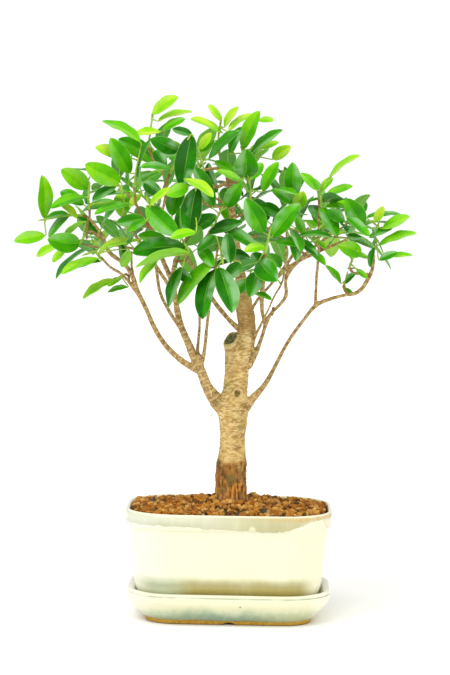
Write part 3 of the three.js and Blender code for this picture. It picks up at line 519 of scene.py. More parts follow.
def lean_by_hand(piece, amount, reach):
    """The slight unevenness of a shape made in a mould and fettled by hand"""
    unevenness = bpy.data.textures.new("unevenness", "CLOUDS")
    unevenness.noise_scale = reach * MM
    finish_with(piece, "DISPLACE", texture=unevenness, strength=amount * MM, mid_level=0.5)


def make_pot():
    pot = raise_form("glazed_pot", POT_LEVELS)
    lean_by_hand(pot, amount=0.7, reach=60)
    for x in (-DRAIN_HOLE_X, DRAIN_HOLE_X):
        cut_away(pot, bar(DRAIN_HOLE_RADIUS, 20, (x, 0, DRAIN_HOLE_LEVEL)))
    shade(pot, SHARP_POTTERY_EDGE)
    pot.data.materials.append(pot_glaze())
    hand_in(pot, "pot_glaze", "pot")


def make_saucer():
    saucer = raise_form("drip_saucer", SAUCER_LEVELS, SAUCER_SHIFT)
    lean_by_hand(saucer, amount=0.5, reach=50)
    notch = bar(1, 4 * RIM_HALF_DEPTH, (SAUCER_SHIFT + NOTCH_X, 0, -NOTCH_SINK), (math.pi / 2, 0, 0))
    notch.scale = (NOTCH_HALF_WIDTH, NOTCH_HEIGHT, 1)
    cut_away(saucer, notch)
    shade(saucer, SHARP_POTTERY_EDGE)
    saucer.data.materials.append(saucer_glaze())
    hand_in(saucer, "saucer_glaze", "saucer")


def spot(finish, place, radius, stretch=(1, 1, 1)):
    """1 at a place on the pottery, falling to 0 at the radius"""
    offset = finish.add("ShaderNodeVectorMath", {0: finish.object, 1: pot_place(place)}, operation="SUBTRACT")
    scaled = finish.add("ShaderNodeVectorMath", {0: offset.outputs[0], 1: stretch}, operation="MULTIPLY")
    length = finish.add("ShaderNodeVectorMath", {0: scaled.outputs[0]}, operation="LENGTH")
    return finish.fade(length.outputs["Value"], 0.35 * radius * MM, radius * MM, 1.0, 0.0)


def speckle(finish, scale, least, most):
    """Small dark pits and iron specks, a few of the cells of a net"""
    near = finish.fade(finish.cells(scale), least, most, 1.0, 0.0)
    chosen = finish.fade(finish.cells(scale, "Color"), 0.9, 0.92)
    return finish.times(near, chosen)


# Kiln flaws on the front of the pot and saucer: place and radius
POT_FLAWS = [((-78.6, -74, 75), 1.1), ((-43.6, -76, 76.6), 1.0), ((49.4, -76, 60.4), 1.2)]
POT_BLISTER = (-9, -68, 28.9)
POT_PALE_DROP = (24, -76, 97.5)
SAUCER_FLAWS = [((-41.6, -68, 12), 1.4), ((13.4, -72, 21.4), 1.5)]

# Glazes: round the rim from left to right, up through the pool at the belly, and up the saucer
RIM_GLAZES = [
    (0.02, "#CBCEBD"), (0.1, "#B9BC9D"), (0.24, "#BFC1A3"), (0.42, "#C6C5A7"), (0.59, "#C0BC93"),
    (0.78, "#B7B182"), (0.93, "#BCB384"), (0.98, "#DDD9BD"),
]
OLIVE_POOL = [
    (0, "#A89B56"), (0.16, "#AC9F5C"), (0.41, "#A99F68"), (0.68, "#B9B58A"), (0.9, "#DAD8B2"), (1, "#E8E6C8"),
]
CELADON_POOL = [
    (0, "#C2C9A8"), (0.2, "#AFB693"), (0.42, "#A6AE8C"), (0.69, "#C0C5A6"), (0.93, "#D2D6BA"), (1, "#E4E5CC"),
]
SAUCER_GLAZES = [
    (0, "#90A184"), (0.16, "#98A88A"), (0.3, "#A8B596"), (0.46, "#BAC4A4"), (0.6, "#D0D3B0"),
    (0.74, "#DDDCBA"), (0.9, "#E4E1BF"), (1, "#DCDDC0"),
]


def across_and_up(glaze):
    """x from the pot's middle, and the height"""
    x, _, z = glaze.axes()[:3]
    return glaze.math("SUBTRACT", x, POT_CENTRE.x), z


def bare_foot(glaze, foot, surface, clay, gloss):
    """Unglazed clay where the foot is, and a clear coat over the rest"""
    glaze.set("Base Color", glaze.mix(foot, surface, clay))
    glaze.set("Roughness", glaze.fade(foot, 0, 1, gloss, 0.85))
    glaze.set("Coat Weight", glaze.fade(foot, 0, 1, 0.5, 0.0))
    glaze.set("Coat Roughness", 0.06)


def pot_glaze():
    """Cream all over, pooled olive and grey-green at the belly, with a beige-green band round the rim"""
    glaze = Finish("cream_glaze_with_celadon_rim")
    x, z = across_and_up(glaze)
    flow = glaze.noise(26, detail=5)
    ragged = glaze.noise(75, detail=4, rough=0.65)
    streak = glaze.noise(1, detail=3, stretch=(90, 90, 12))
    drift = glaze.noise(9, detail=2)

    # Paler just under the lip: painted light that lifts the shade of the lip's underside
    painted_light_under_lip = glaze.times(glaze.fade(z, 0.0915, 0.094), glaze.fade(z, 0.0966, 0.0975, 0.5, 0.0))
    body = glaze.layers(
        "#EFEFE0",
        # Whiter towards the left end: painted light where the key light falls on that end
        (glaze.fade(x, -0.105, -0.05), "#EAE8CB"),
        (glaze.fade(drift, 0.35, 0.7, 0, 0.5), "#E8E5C4"),
        (glaze.fade(streak, 0.5, 0.8, 0, 0.2), "#E2DFBE"),
        (painted_light_under_lip, "#F1EFD6"),
    )

    drop = glaze.plus(
        glaze.fade(x, -0.06, 0.03, 0, 0.0037), glaze.fade(x, 0.052, 0.09, 0, -0.0095),
        glaze.fade(x, 0.093, 0.098, 0, 0.009),
    )
    edge = glaze.plus(
        z, drop, glaze.fade(ragged, 0.3, 0.7, -0.0009, 0.0009), glaze.fade(streak, 0.35, 0.7, -0.0004, 0.0004)
    )
    rim_share = glaze.fade(edge, 0.0995, 0.1009)
    upper = glaze.times(glaze.fade(z, 0.101, 0.1085), glaze.fade(x, -0.05, 0.01, 0.55, 0.1))
    amber_run = glaze.times(glaze.fade(x, 0.015, 0.06, 0.0, 0.55), glaze.fade(z, 0.1062, 0.1085))
    brown_run = glaze.times(
        glaze.fade(x, 0.052, 0.075), glaze.fade(z, 0.1045, 0.109), glaze.fade(ragged, 0.36, 0.56, 0.15, 0.85)
    )
    low_rim = glaze.times(
        rim_share, glaze.fade(edge, 0.1, 0.1035, 1.0, 0.0), glaze.fade(x, -0.02, 0.03, 0.15, 0.4)
    )
    rim = glaze.layers(
        glaze.ramp(glaze.fade(x, -0.104, 0.104), *RIM_GLAZES),
        (upper, "#E0E2CA"),
        (glaze.fade(streak, 0.42, 0.78, 0, 0.3), "#E3E2C6"),
        (amber_run, "#CDB272"),
        (brown_run, "#BE9F62"),
        (low_rim, "#BDB88E"),
        # A painted highlight along the rim's top edge
        (glaze.fade(z, 0.1103, 0.1113, 0, 0.85), "#F2EED2"),
    )

    level = glaze.plus(
        z, glaze.fade(flow, 0.3, 0.7, -0.0009, 0.0009), glaze.fade(streak, 0.3, 0.7, -0.0004, 0.0004)
    )
    pooled = glaze.fade(level, 0.0335, 0.0515)
    olive, celadon = glaze.ramp(pooled, *OLIVE_POOL), glaze.ramp(pooled, *CELADON_POOL)
    belly = glaze.layers(
        celadon,
        (glaze.fade(x, -0.062, -0.03), olive),
        (glaze.fade(streak, 0.5, 0.7, 0, 0.15), "#CFCFA6"),
    )
    # The pool fades out towards both ends: painted light that offsets the shade between pot and saucer there
    belly_share = glaze.times(
        glaze.fade(x, -0.096, -0.072, 0.12, 1.0), glaze.fade(x, 0.07, 0.088, 1.0, 0.08),
        glaze.fade(pooled, 0.94, 1.0, 1.0, 0.0),
    )

    ring = spot(glaze, POT_BLISTER, 4.2, (0.8, 0.3, 1.5))
    core = spot(glaze, POT_BLISTER, 2.4, (0.8, 0.3, 1.5))
    surface = glaze.layers(
        glaze.mix(rim_share, body, rim),
        (belly_share, belly),
        *((glaze.times(spot(glaze, place, radius), 0.55), "#9A926E") for place, radius in POT_FLAWS),
        (glaze.times(spot(glaze, POT_PALE_DROP, 5, (1, 0.3, 0.8)), 0.6), "#ECEACC"),
        (glaze.times(ring, glaze.fade(core, 0.2, 0.9, 0.6, 0.1)), "#6E6B42"),
        (glaze.times(speckle(glaze, 90, 0.04, 0.09), 0.35), "#A79D70"),
    )
    foot = glaze.fade(z, 0.0122, 0.0132, 1.0, 0.0)
    clay = glaze.mix(glaze.fade(glaze.noise(600, detail=4), 0.35, 0.65), "#C9A468", "#B58A4C")
    bare_foot(glaze, foot, surface, clay, gloss=0.16)
    glaze.bump(glaze.plus(glaze.noise(45, detail=3), glaze.times(rim_share, 0.3)), 0.0007, 0.3)
    return glaze.material


def saucer_glaze():
    """Cream above, shading into grey-green and teal towards a bare orange-brown foot"""
    glaze = Finish("celadon_glaze_over_bare_foot")
    x, z = across_and_up(glaze)
    flow = glaze.noise(20, detail=4)
    streak = glaze.noise(1, detail=3, stretch=(80, 80, 20))
    level = glaze.plus(
        z, glaze.fade(flow, 0.3, 0.7, -0.0025, 0.0025), glaze.fade(streak, 0.3, 0.7, -0.0012, 0.0012),
        glaze.fade(x, -0.075, -0.025, 0.0042, 0.0),
    )
    yellower = glaze.times(glaze.fade(x, 0.02, 0.08, 0.0, 0.45), glaze.fade(level, 0.01, 0.024, 1.0, 0.0))
    teal = glaze.times(
        glaze.fade(x, -0.045, -0.02, 0.0, 0.45), glaze.fade(x, 0.01, 0.04, 1.0, 0.0),
        glaze.fade(level, 0.009, 0.015, 1.0, 0.0),
    )
    # Paler towards both ends: painted light where the lights fall on the saucer's ends
    lit_saucer_ends = glaze.plus(glaze.fade(x, -0.096, -0.066, 0.9, 0.0), glaze.fade(x, 0.076, 0.096, 0.0, 0.7))
    # Painted shade in the groove under the saucer's lip
    groove = glaze.times(
        glaze.fade(z, 0.0284, 0.029), glaze.fade(z, 0.0296, 0.0302, 1.0, 0.0),
        glaze.fade(glaze.noise(30, detail=3), 0.4, 0.6, 0.2, 0.9),
    )
    surface = glaze.layers(
        glaze.ramp(glaze.fade(level, 0.003, 0.029), *SAUCER_GLAZES),
        (yellower, "#CDCB94"),
        (teal, "#7C9C8C"),
        (glaze.fade(streak, 0.5, 0.7, 0, 0.2), "#DADBBC"),
        (lit_saucer_ends, "#F0EFDA"),
        (groove, "#A3A888"),
        *((glaze.times(spot(glaze, place, radius), 0.8), "#7F6A38") for place, radius in SAUCER_FLAWS),
        (glaze.times(speckle(glaze, 80, 0.03, 0.07), 0.4), "#988C60"),
    )
    foot = glaze.fade(glaze.plus(z, glaze.fade(flow, 0.3, 0.7, -0.0006, 0.0006)), 0.0042, 0.005, 1.0, 0.0)
    clay = glaze.layers(
        "#CBA23E",
        (glaze.fade(glaze.noise(500, detail=4), 0.35, 0.65), "#B08628"),
        (glaze.fade(z, 0.0004, 0.0014, 0.8, 0.0), "#5A3A12"),
    )
    bare_foot(glaze, foot, surface, clay, gloss=0.15)
    glaze.bump(glaze.noise(45, detail=3), 0.0006, 0.3)
    return glaze.material


def dress_drain_meshes():
    plastic = Finish("black_plastic_mesh", Roughness=0.55)
    tint = plastic.noise(500, detail=3)
    plastic.set("Base Color", plastic.mix(tint, "#1B1D1C", "#343735"))
    plastic.bump(tint, 0.0002, 0.5)
    for name in ("drain_mesh_left", "drain_mesh_right"):
        redress(name, plastic.material)


# Tree: limbs as rows of x, z, depth and radius, in millimetres in the front elevation

LIMBS = {
    "pruned_stub": [[7.4, 262, -2, 10.2], [5.2, 270, -2, 9.1], [2.4, 280, -3, 8.2]],
    "leader": [
        [12, 262, 0, 10.5], [16, 275, 0, 9.4], [18.5, 292, 0, 9], [16.6, 307, 0, 8.9], [14.8, 318, 0, 8.4],
        [14.2, 330, 1, 7.2], [11.5, 345, 3, 5.4], [6, 385, 4, 3.9], [2, 420, 2, 3.1], [-2, 452, 0, 2.2],
    ],
    "left_limb": [
        [4, 203, 0, 9], [-8.6, 214, -1, 8], [-16.6, 224, -2, 6.4], [-22, 233, -3.5, 5.2],
        [-26.6, 245, -5, 4.6], [-30.5, 256, -6, 4.6], [-31.4, 265, -6, 3.6],
    ],
    "left_low": [
        [-26, 246, -5, 3.8], [-41, 254, -9, 3.2], [-51, 261.4, -12, 2.9], [-63.4, 274, -17, 2.6],
        [-74.6, 292, -21, 2.4], [-82, 309, -24, 2.3], [-91, 328, -27, 2.4], [-97, 345, -29, 2.4],
        [-104, 355, -30, 2.2], [-120, 368, -30, 2.1], [-126, 383, -29, 1.9], [-139, 401, -27, 1.5],
    ],
    "left_green": [
        [-90, 324, -27, 1.9], [-107, 345, -31, 1.6], [-118, 352, -33, 1.4], [-127, 361, -34, 1.25],
    ],
    "left_rise": [
        [-30, 252, -6, 4], [-35.6, 262, -9, 3.5], [-40.6, 275, -14, 3.2], [-46, 288, -20, 3.1],
        [-50.4, 302, -27, 3], [-53, 320, -35, 2.9], [-57, 338, -43, 2.7], [-67, 362, -52, 2.3],
        [-78, 392, -60, 1.8],
    ],
    "left_rise_fork": [[-56, 336, -43, 2.2], [-55, 352, -55, 1.9], [-48, 372, -68, 1.6]],
    "left_slim": [
        [-43, 284, -18, 2.3], [-52, 296, -16, 2], [-60, 309, -10, 1.9], [-68, 325, -3, 1.8],
        [-72, 348, 6, 1.7], [-78, 385, 12, 1.5],
    ],
    "inner_left": [
        [-31.6, 260, -6, 2.2], [-30.6, 275, -3, 1.7], [-29.2, 292, 2, 1.5], [-29.4, 312, 8, 1.5],
        [-30, 345, 18, 1.5],
    ],
    "inner_mid": [
        [-27, 254, -5, 2.2], [-24, 270, -12, 1.9], [-22, 290, -20, 1.8], [-19, 315, -32, 1.7],
        [-14, 350, -52, 1.5],
    ],
    "crossing": [
        [10, 290, -4, 2.8], [0, 300, -10, 2.4], [-16, 320, -20, 2.3], [-30, 345, -30, 2.2],
        [-45, 365, -42, 2],
    ],
    "right_rise": [
        [19, 252, -2, 4.2], [26.4, 264, -5, 2.8], [32, 278, -7, 2], [35.6, 289, -9, 1.8],
        [38, 297, -11, 2.4], [43.6, 307, -14, 1.8], [50, 313, -17, 1.7], [57.6, 324, -22, 1.9],
        [57.2, 338, -26, 1.7], [60, 347, -28, 2.4], [74, 362, -30, 2.1], [93, 378, -33, 1.6],
        [119, 395, -38, 1.3],
    ],
    "right_mid": [
        [22, 260, -3, 2.6], [25.4, 280, -7, 2], [31.2, 292, -13, 1.4], [39.6, 309, -23, 1.2],
        [45.4, 322, -33, 1.2], [54.6, 340, -46, 1.3], [58, 380, -58, 1.3],
    ],
    "right_upright": [
        [36.6, 296, -10, 2], [34, 306, -15, 1.8], [33.2, 318, -22, 2.3], [33.8, 331, -32, 2.6],
        [35.6, 343, -43, 2.1], [37, 366, -60, 1.5],
    ],
    "right_low": [
        [14, 208, -2, 6], [25, 221, -5, 3.8], [35.6, 233, -7, 2.6], [45.4, 250, -9, 2.1],
        [58.4, 275, -12, 1.9], [77.4, 302, -14, 1.8], [88, 314, -15, 2.2], [101, 320, -15, 2],
        [116, 324, -14, 1.8], [129, 327, -14, 2], [140, 341, -14, 2.3], [145, 356, -14, 1.6],
        [145, 369, -14, 1.25],
    ],
    "right_low_rise": [
        [87, 314, -15, 1.8], [88, 340, -18, 1.5], [90, 365, -21, 1.4], [90, 395, -24, 1.4],
        [91, 414, -25, 1.3],
    ],
    "back_right": [
        [16, 262, 5, 4], [19, 292, 22, 2.6], [25, 313, 34, 1.7], [45, 338, 52, 1.6], [62, 361, 66, 1.8],
        [80, 392, 74, 1.6],
    ],
    "back_middle": [
        [14, 270, 5, 4], [16, 300, 26, 3], [13, 335, 54, 2.5], [8, 375, 78, 2], [4, 412, 86, 1.6],
    ],
    "back_left": [
        [-27, 250, -2, 3], [-36.4, 270, 10, 2.7], [-47, 294, 28, 2.4], [-55, 324, 46, 2.2],
        [-72, 352, 62, 2], [-96, 388, 70, 1.6],
    ],
    "back_low_right": [[45, 338, 52, 1.8], [60, 352, 60, 1.9], [84, 365, 62, 1.8], [124, 382, 50, 1.5]],
}
GROWING_LIMBS = [name for name in LIMBS if name != "pruned_stub"]

# Where the stub comes among the lines of the wood, of which the trunk is the first
STUB_LINE = 1 + list(LIMBS).index("pruned_stub")

# Trunk: height, left and right edge, half the thickness front to back
TRUNK_LEVELS = [
    [78, -6, 11, 9], [102, -14.5, 20, 17], [113, -14.6, 19.6, 17], [124, -13, 18, 15.4], [141, -13, 17.6, 15],
    [157, -11.6, 18, 14.4], [170, -9, 16.6, 13.2], [181, -8.4, 16.2, 12.8], [194, -9.6, 18.6, 13.6],
    [206, -12, 21, 14], [218, -9, 20.4, 13], [232, -5, 19, 12], [247, -4, 20.4, 12], [262, -4, 22, 12.4],
    [271, -2, 23, 11.6],
]

# Shoots seen from the front: where the green stem starts and runs, how far back, and its leaves, each as
# its age tone (0 fresh lime, 1 old dark green), base, tip, drawn width, lean away and face turned to us
FRONT_SHOOTS = {
    "left_tip": dict(stem=[[-146, 404], [-160, 404], [-183, 400]], depth=[-25, -32], leaves=[
        [0.35, -184, 401, -186.5, 444, 15], [0.35, -183.5, 384, -214.5, 378, 12],
        [0.55, -160, 405, -184.5, 400, 6, 1], [0, -151, 401, -168, 415, 7], [0.6, -158, 405, -180, 382, 8],
    ]),
    "left_node": dict(stem=[[-139, 410], [-140, 420], [-139, 432]], depth=[-28, -36], leaves=[
        [0.5, -143, 422, -177.5, 411, 10], [0.3, -140, 431, -167, 450, 18],
        [0.6, -140, 415, -138, 442, 4, 1], [0.5, -112, 416, -146, 408, 8, 1],
    ]),
    "left_fall": dict(stem=[[-143, 386], [-148, 376], [-165, 372]], depth=[-34, -46], leaves=[
        [0.5, -149, 376, -181, 380, 20], [0.3, -143, 398, -165, 381, 6, 1, -1],
        [0.2, -172, 373, -192, 363, 8, 1], [0.25, -163, 370, -176, 357, 7],
    ]),
    "left_under": dict(stem=[[-128, 362], [-134, 368], [-140, 366]], depth=[-34, -38], leaves=[
        [0.3, -130, 361, -167, 345, 9], [0.8, -128, 358, -152, 351.5, 5, 1],
        [0.85, -108, 376, -105, 357, 8, -1], [0.3, -99, 369, -107, 352, 10, 1, -1],
        [0.15, -88, 379, -129, 369, 6, -1],
    ]),
    "left_lowest": dict(stem=[[-103, 345], [-108, 343], [-113, 340]], depth=[-22, -16], leaves=[
        [0.2, -112, 340, -146, 320, 8], [0.4, -107, 341, -121, 333, 6, 1],
        [0.5, -101, 332, -121, 327, 5, 1],
    ]),
    "left_middle": dict(stem=[[-106, 404], [-104, 416], [-106, 428]], depth=[-58, -70], leaves=[
        [0.8, -113, 433, -136, 419, 10], [0.35, -108, 437, -143, 455, 20],
        [0.6, -112, 428, -129, 424, 6, 1], [0.6, -84, 400, -112, 396, 12], [0.5, -98, 415, -134, 405, 8],
    ]),
    "upper_left": dict(stem=[[-94, 432], [-92, 450], [-88, 468]], depth=[-40, -38], leaves=[
        [0.5, -98, 446, -118, 481, 18], [0.1, -108, 462, -133, 472, 11], [0.35, -88, 477, -126, 498, 10, 1],
        [0.7, -90, 440, -77, 480, 5, -1], [0.1, -87, 425, -99, 412, 7],
    ]),
    "top_left": dict(stem=[[-80, 472], [-78, 488], [-76, 502]], depth=[-14, -10], leaves=[
        [0.15, -76, 505, -50, 522, 12], [0.1, -70, 498, -36, 507, 6, 1], [0.4, -66, 488, -43, 500, 8],
        [0.1, -68, 487, -94, 484, 7], [0.6, -74, 457, -110, 480, 18],
    ]),
    "high_front_left": dict(stem=[[-58, 446], [-50, 462], [-40, 480]], depth=[-66, -84], leaves=[
        [0.8, -50, 468, -78, 480, 16], [0.85, -36, 484, -56, 490, 8, 1], [0.95, -37, 484, -46, 432, 21],
        [0.6, -57, 450, -88, 452, 7], [0.9, -62, 452, -74, 468, 12, 1],
    ]),
    "front_left": dict(stem=[[-72, 398], [-77, 410], [-80, 418]], depth=[-86, -96], leaves=[
        [0.55, -82, 413, -50, 384, 20], [0.1, -78, 414, -58, 431, 7], [0.45, -58, 394, -83, 400, 9],
        [0.6, -82, 399, -100, 388, 8], [0.9, -66, 425, -84, 436, 13, 1],
    ]),
    "low_front_left": dict(stem=[[-40, 364], [-42, 372], [-45, 378]], depth=[-76, -90], leaves=[
        [0.85, -43, 372, -96, 366, 18], [0.3, -40, 366, -93, 352, 9, -1, -1],
        [0.3, -70, 360, -89, 336, 7, 1], [0.8, -46, 352, -60, 312, 11, 1],
    ]),
    "inner_front_left": dict(stem=[[-34, 404], [-32, 420], [-33, 436]], depth=[-92, -100], leaves=[
        [0.95, -31, 432, -40, 384, 20], [0.3, -33, 387, -58, 381, 9], [0.15, -44, 440, -15, 422, 10],
        [0.35, -40, 433, -62, 424, 13],
    ]),
    "front_hanging": dict(stem=[[-8, 372], [-7, 365], [-6, 359]], depth=[-84, -98], leaves=[
        [0.9, -13, 350, -26, 300, 17], [0.8, -9.5, 352, 3.5, 306, 21], [0.4, -14, 358, -51, 315, 14, 1],
        [0.9, -1, 386, 2, 356, 14], [0.85, 12, 356, -3, 342, 14], [0.8, -14, 384, -31, 369, 10],
    ]),
    "front_middle": dict(stem=[[-14, 392], [-12, 400], [-8, 408]], depth=[-66, -78], leaves=[
        [0.7, -6, 390, 27, 372, 12], [0.9, -20, 386, 14, 397, 12, 1], [0.6, -2, 412, 12, 436, 15],
        [0.7, -16, 412, -34, 452, 14, 1],
    ]),
    "front_right": dict(stem=[[37, 366], [39, 376], [41, 386]], depth=[-76, -88], leaves=[
        [0.6, 35, 387, 17, 421, 20], [0.6, 44, 383, 72, 415, 18], [0.2, 37, 372, 16, 368, 9],
        [0.75, 31, 358, 49, 338, 22], [0.6, 47, 377, 71, 374, 8],
    ]),
    "low_middle_right": dict(stem=[[31, 352], [27, 350], [23, 349]], depth=[-52, -60], leaves=[
        [0.7, 28, 347, 21, 322, 17], [0.5, 23, 326, 43, 319, 5, 1], [0.6, 20, 340, 6, 326, 12, 1],
    ]),
    "right_inner": dict(stem=[[74, 372], [80, 376], [88, 380]], depth=[-42, -50], leaves=[
        [0.5, 75, 386, 67, 405, 9], [0.6, 70, 384, 103, 382, 6, -1], [0.3, 88, 379, 98, 371, 5, 1],
        [0.5, 81, 368, 97, 354, 7], [0.4, 78, 398, 88, 392, 7, 1],
    ]),
    "right_middle": dict(stem=[[60, 398], [64, 410], [66, 424]], depth=[-60, -66], leaves=[
        [0.15, 70, 413, 75, 428, 14], [0.6, 64, 416, 43, 430, 10], [0.6, 66, 424, 64, 457, 17],
        [0.5, 47, 430, 69, 424, 5, 1], [0.85, 54, 404, 32, 414, 13, 1],
    ]),
    "top_middle": dict(stem=[[14, 446], [14, 458], [15, 468]], depth=[-30, -26], leaves=[
        [0.35, 14, 470, 31, 508, 15], [0.7, 2, 466, 13, 492, 10, 1], [0.6, 22, 465, 54, 489, 9],
        [0.2, 32, 470, 50, 477, 7, 1], [0.1, 44, 460, 62, 473, 12], [0.2, 30, 498, 45, 499, 6, 1],
    ]),
    "high_front_right": dict(stem=[[22, 418], [22, 430], [20, 440]], depth=[-62, -72], leaves=[
        [0.5, 34, 428, 50, 457, 12], [0.65, 17, 442, 18, 470, 24], [0.5, 22, 440, 34, 456, 10, 1],
        [0.3, 20, 428, -12, 449, 6], [0.5, 6, 446, -14, 458, 9, 1],
    ]),
    "crest": dict(stem=[[-10, 470], [-10, 484], [-8, 496]], depth=[0, -6], leaves=[
        [0.15, -6, 486, -38, 500, 7], [0.05, -4, 492, 10, 512, 8], [0.15, 0, 488, 24, 505, 7, 1],
        [0.5, -14, 478, -34, 470, 12, 1], [0.15, -8, 498, -20, 514, 7, 1],
    ]),
    "crest_front": dict(stem=[[-24, 446], [-26, 456], [-29, 466]], depth=[-46, -50], leaves=[
        [0.1, -29, 470, -17, 486, 9], [0.7, -20, 460, 12, 488, 10], [0.6, -31, 460, -60, 462, 13, 1],
    ]),
    "right_high": dict(stem=[[90.5, 420], [91, 425], [92, 430]], depth=[-25, -26], leaves=[
        [0.15, 100, 441, 131, 463.5, 6], [0.25, 93, 428, 103, 442, 8, 1], [0.4, 96, 422, 124, 433, 8],
        [0.45, 97, 413, 132, 411, 9], [0.6, 93, 412, 108, 383, 14], [0.4, 88, 429, 72, 446, 9, 1],
    ]),
    "right_front": dict(stem=[[124, 398], [130, 396], [134, 393]], depth=[-46, -56], leaves=[
        [0.6, 134, 391, 117, 421, 20], [0.7, 116, 397, 100, 410, 12, 1], [0.6, 118, 402, 141, 383, 9],
        [0.85, 118, 384, 133, 382, 7],
    ]),
    "right_tip": dict(stem=[[146, 377], [147, 384], [149, 392]], depth=[-15, -18], leaves=[
        [0.7, 138, 402, 175, 403, 5, 1], [0.3, 154, 391, 181, 403, 11], [0, 146, 398, 155, 413, 9],
        [0.3, 150, 374, 188, 386, 8], [0.6, 141, 382, 164, 391, 7], [0.8, 146, 372, 142, 352, 6],
        [0.65, 151, 359, 169, 367, 8, 1], [0.25, 158, 361, 184, 364, 5],
    ]),
    "right_fall": dict(stem=[[121, 352], [124, 360], [127, 366]], depth=[-22, -34], leaves=[
        [0.35, 133, 366, 109, 374, 16], [0.3, 121, 364, 142, 361, 6, 1], [0.4, 128, 350, 139, 341, 6],
    ]),
    "right_lowest": dict(stem=[[116, 334], [117, 338], [118, 342]], depth=[-10, -6], leaves=[
        [0.4, 112, 336, 97, 354, 6, 1], [0.8, 117, 336, 127, 345, 6], [0.5, 115, 331, 125, 325, 6],
    ]),
}

# Back of the crown: tiers of shoots set out by rule, angles in degrees, 90 is straight to the back
CROWN_MIDDLE = np.array([-6.0, 4.0, 388.0])
CROWN_HALF = np.array([150.0, 108.0, 95.0])
BACK_TIERS = [(7, -6, 2, 178), (6, 24, 12, 168), (4, 50, 25, 155)]
CROWN_FALL = 0.9
BACK_SPREAD = (0.3, 0.7)
BACK_TILT = 12
BACK_START = (0.74, 0.88)
BACK_LIFT = 0.35
BACK_BARE = 0.4
BACK_LEAVES = 4
BACK_STEM = 20
BACK_LEAF_LENGTH = (36, 50)
BACK_PETIOLE = 8
SPIRAL_OUT = 0.55
SPIRAL_SPREAD = 0.85
BACK_SEED = 4127
BACK_AGES = (0.25, 0.9)
GOLDEN_ANGLE = 2.4
LEAF_DROOP = 0.16

# Twigs: their girth, how they reach for a limb below them, and how they bend into the green stem
TWIG_BASE_RADIUS = 2
TWIG_TIP_RADIUS = 1.4
TWIG_ROOT_SHARE = 0.72
TWIG_SHORTEST = 7
TWIG_SEARCH_STEP = 4
TWIG_LONG = 45
TWIG_CLIMB = 2
TWIG_BEND = 0.45
GRAFT_GAP = 0.35
GREEN_STEM_RADIUS = 1.4
STEM_BARE_RUN = 3
STEM_STEP = 1.5
PETIOLE_RADIUS = 0.75

# Leaves: a drawn leaf's usual values, its folds, the room kept round it, and the poses that are tried in turn
LEAF_WIDTH_SHARE = 0.46
LEAST_LEAN = 1.03
ALWAYS_DRAWN = 5
USUAL_LEAN_AND_FACE = [-1, 1]
LEAF_FOLD = 0.2
LEAF_ARCH = 0.07
SAMPLE_STEP = 3
BLADE_ROOM = 1.95
STEM_SPARE = 0.5
WOOD_SPARE = 0.9
BOX_MARGIN = 6
MOST_CROWDING = 1.4
OWN_ROOM_SHARE = 0.62
OTHERS_WEIGHT = 4
LEAF_SHIFTS = (0, -7, 7, -14, 14, -21, 21, -30, 30)
LEAF_SWINGS = (0, -9, 9, -18, 18)
LEAF_TURNS = (0, 12, -12, 24, -24, 36, -36, 48, -48, 60, -60, 80, -80)
ROOM_OUTLINE = ((0, 0.2, 0.5, 0.79, 1), (0.1, 0.72, 1, 0.7, 0))
UP = np.array([0.0, 0.0, 1.0])


def limb_route(name):
    rows = np.array(LIMBS[name], float)
    return np.array([seen(x, z, y) for x, z, y, _ in rows]), rows[:, 3]


def rod(places, radius):
    """A run that is equally thick all along"""
    return places, np.full(len(places), float(radius))


def points_along(places, radii, step):
    """Places at every step along a run, and the radius at each"""
    out, sizes = [], []
    for a, b, first, last in zip(places, places[1:], radii, radii[1:]):
        count = max(1, math.ceil(np.linalg.norm(b - a) / step))
        for k in range(count):
            out.append(a + (b - a) * k / count)
            sizes.append(first + (last - first) * k / count)
    return np.array([*out, places[-1]]), np.array([*sizes, radii[-1]])


def twig_start(base):
    """The nearest place on the limbs, below the shoot, that isn't right beside it"""
    best = None
    for name in GROWING_LIMBS:
        for place, radius in zip(*points_along(*limb_route(name), TWIG_SEARCH_STEP)):
            distance = np.linalg.norm(place - base)
            if distance < TWIG_SHORTEST:
                continue
            cost = distance + TWIG_CLIMB * max(0, place[2] - base[2] + TWIG_SHORTEST)
            if best is None or cost < best[0]:
                best = (cost, place, radius)
    return best[1:]


def twig_route(base, direction):
    """The twig bends so that it arrives in the direction that the green stem leaves in"""
    start, girth = twig_start(base)
    reach = np.linalg.norm(start - base)
    bend = base - direction * TWIG_BEND * reach
    end = base - direction * GRAFT_GAP
    runs = 3 if reach > TWIG_LONG else 2
    shares = np.linspace(0, 1, runs + 1)[:, None]
    places = (1 - shares) ** 2 * start + 2 * shares * (1 - shares) * bend + shares**2 * end
    radii = np.linspace(min(TWIG_BASE_RADIUS, TWIG_ROOT_SHARE * girth), TWIG_TIP_RADIUS, runs + 1)
    return places, radii


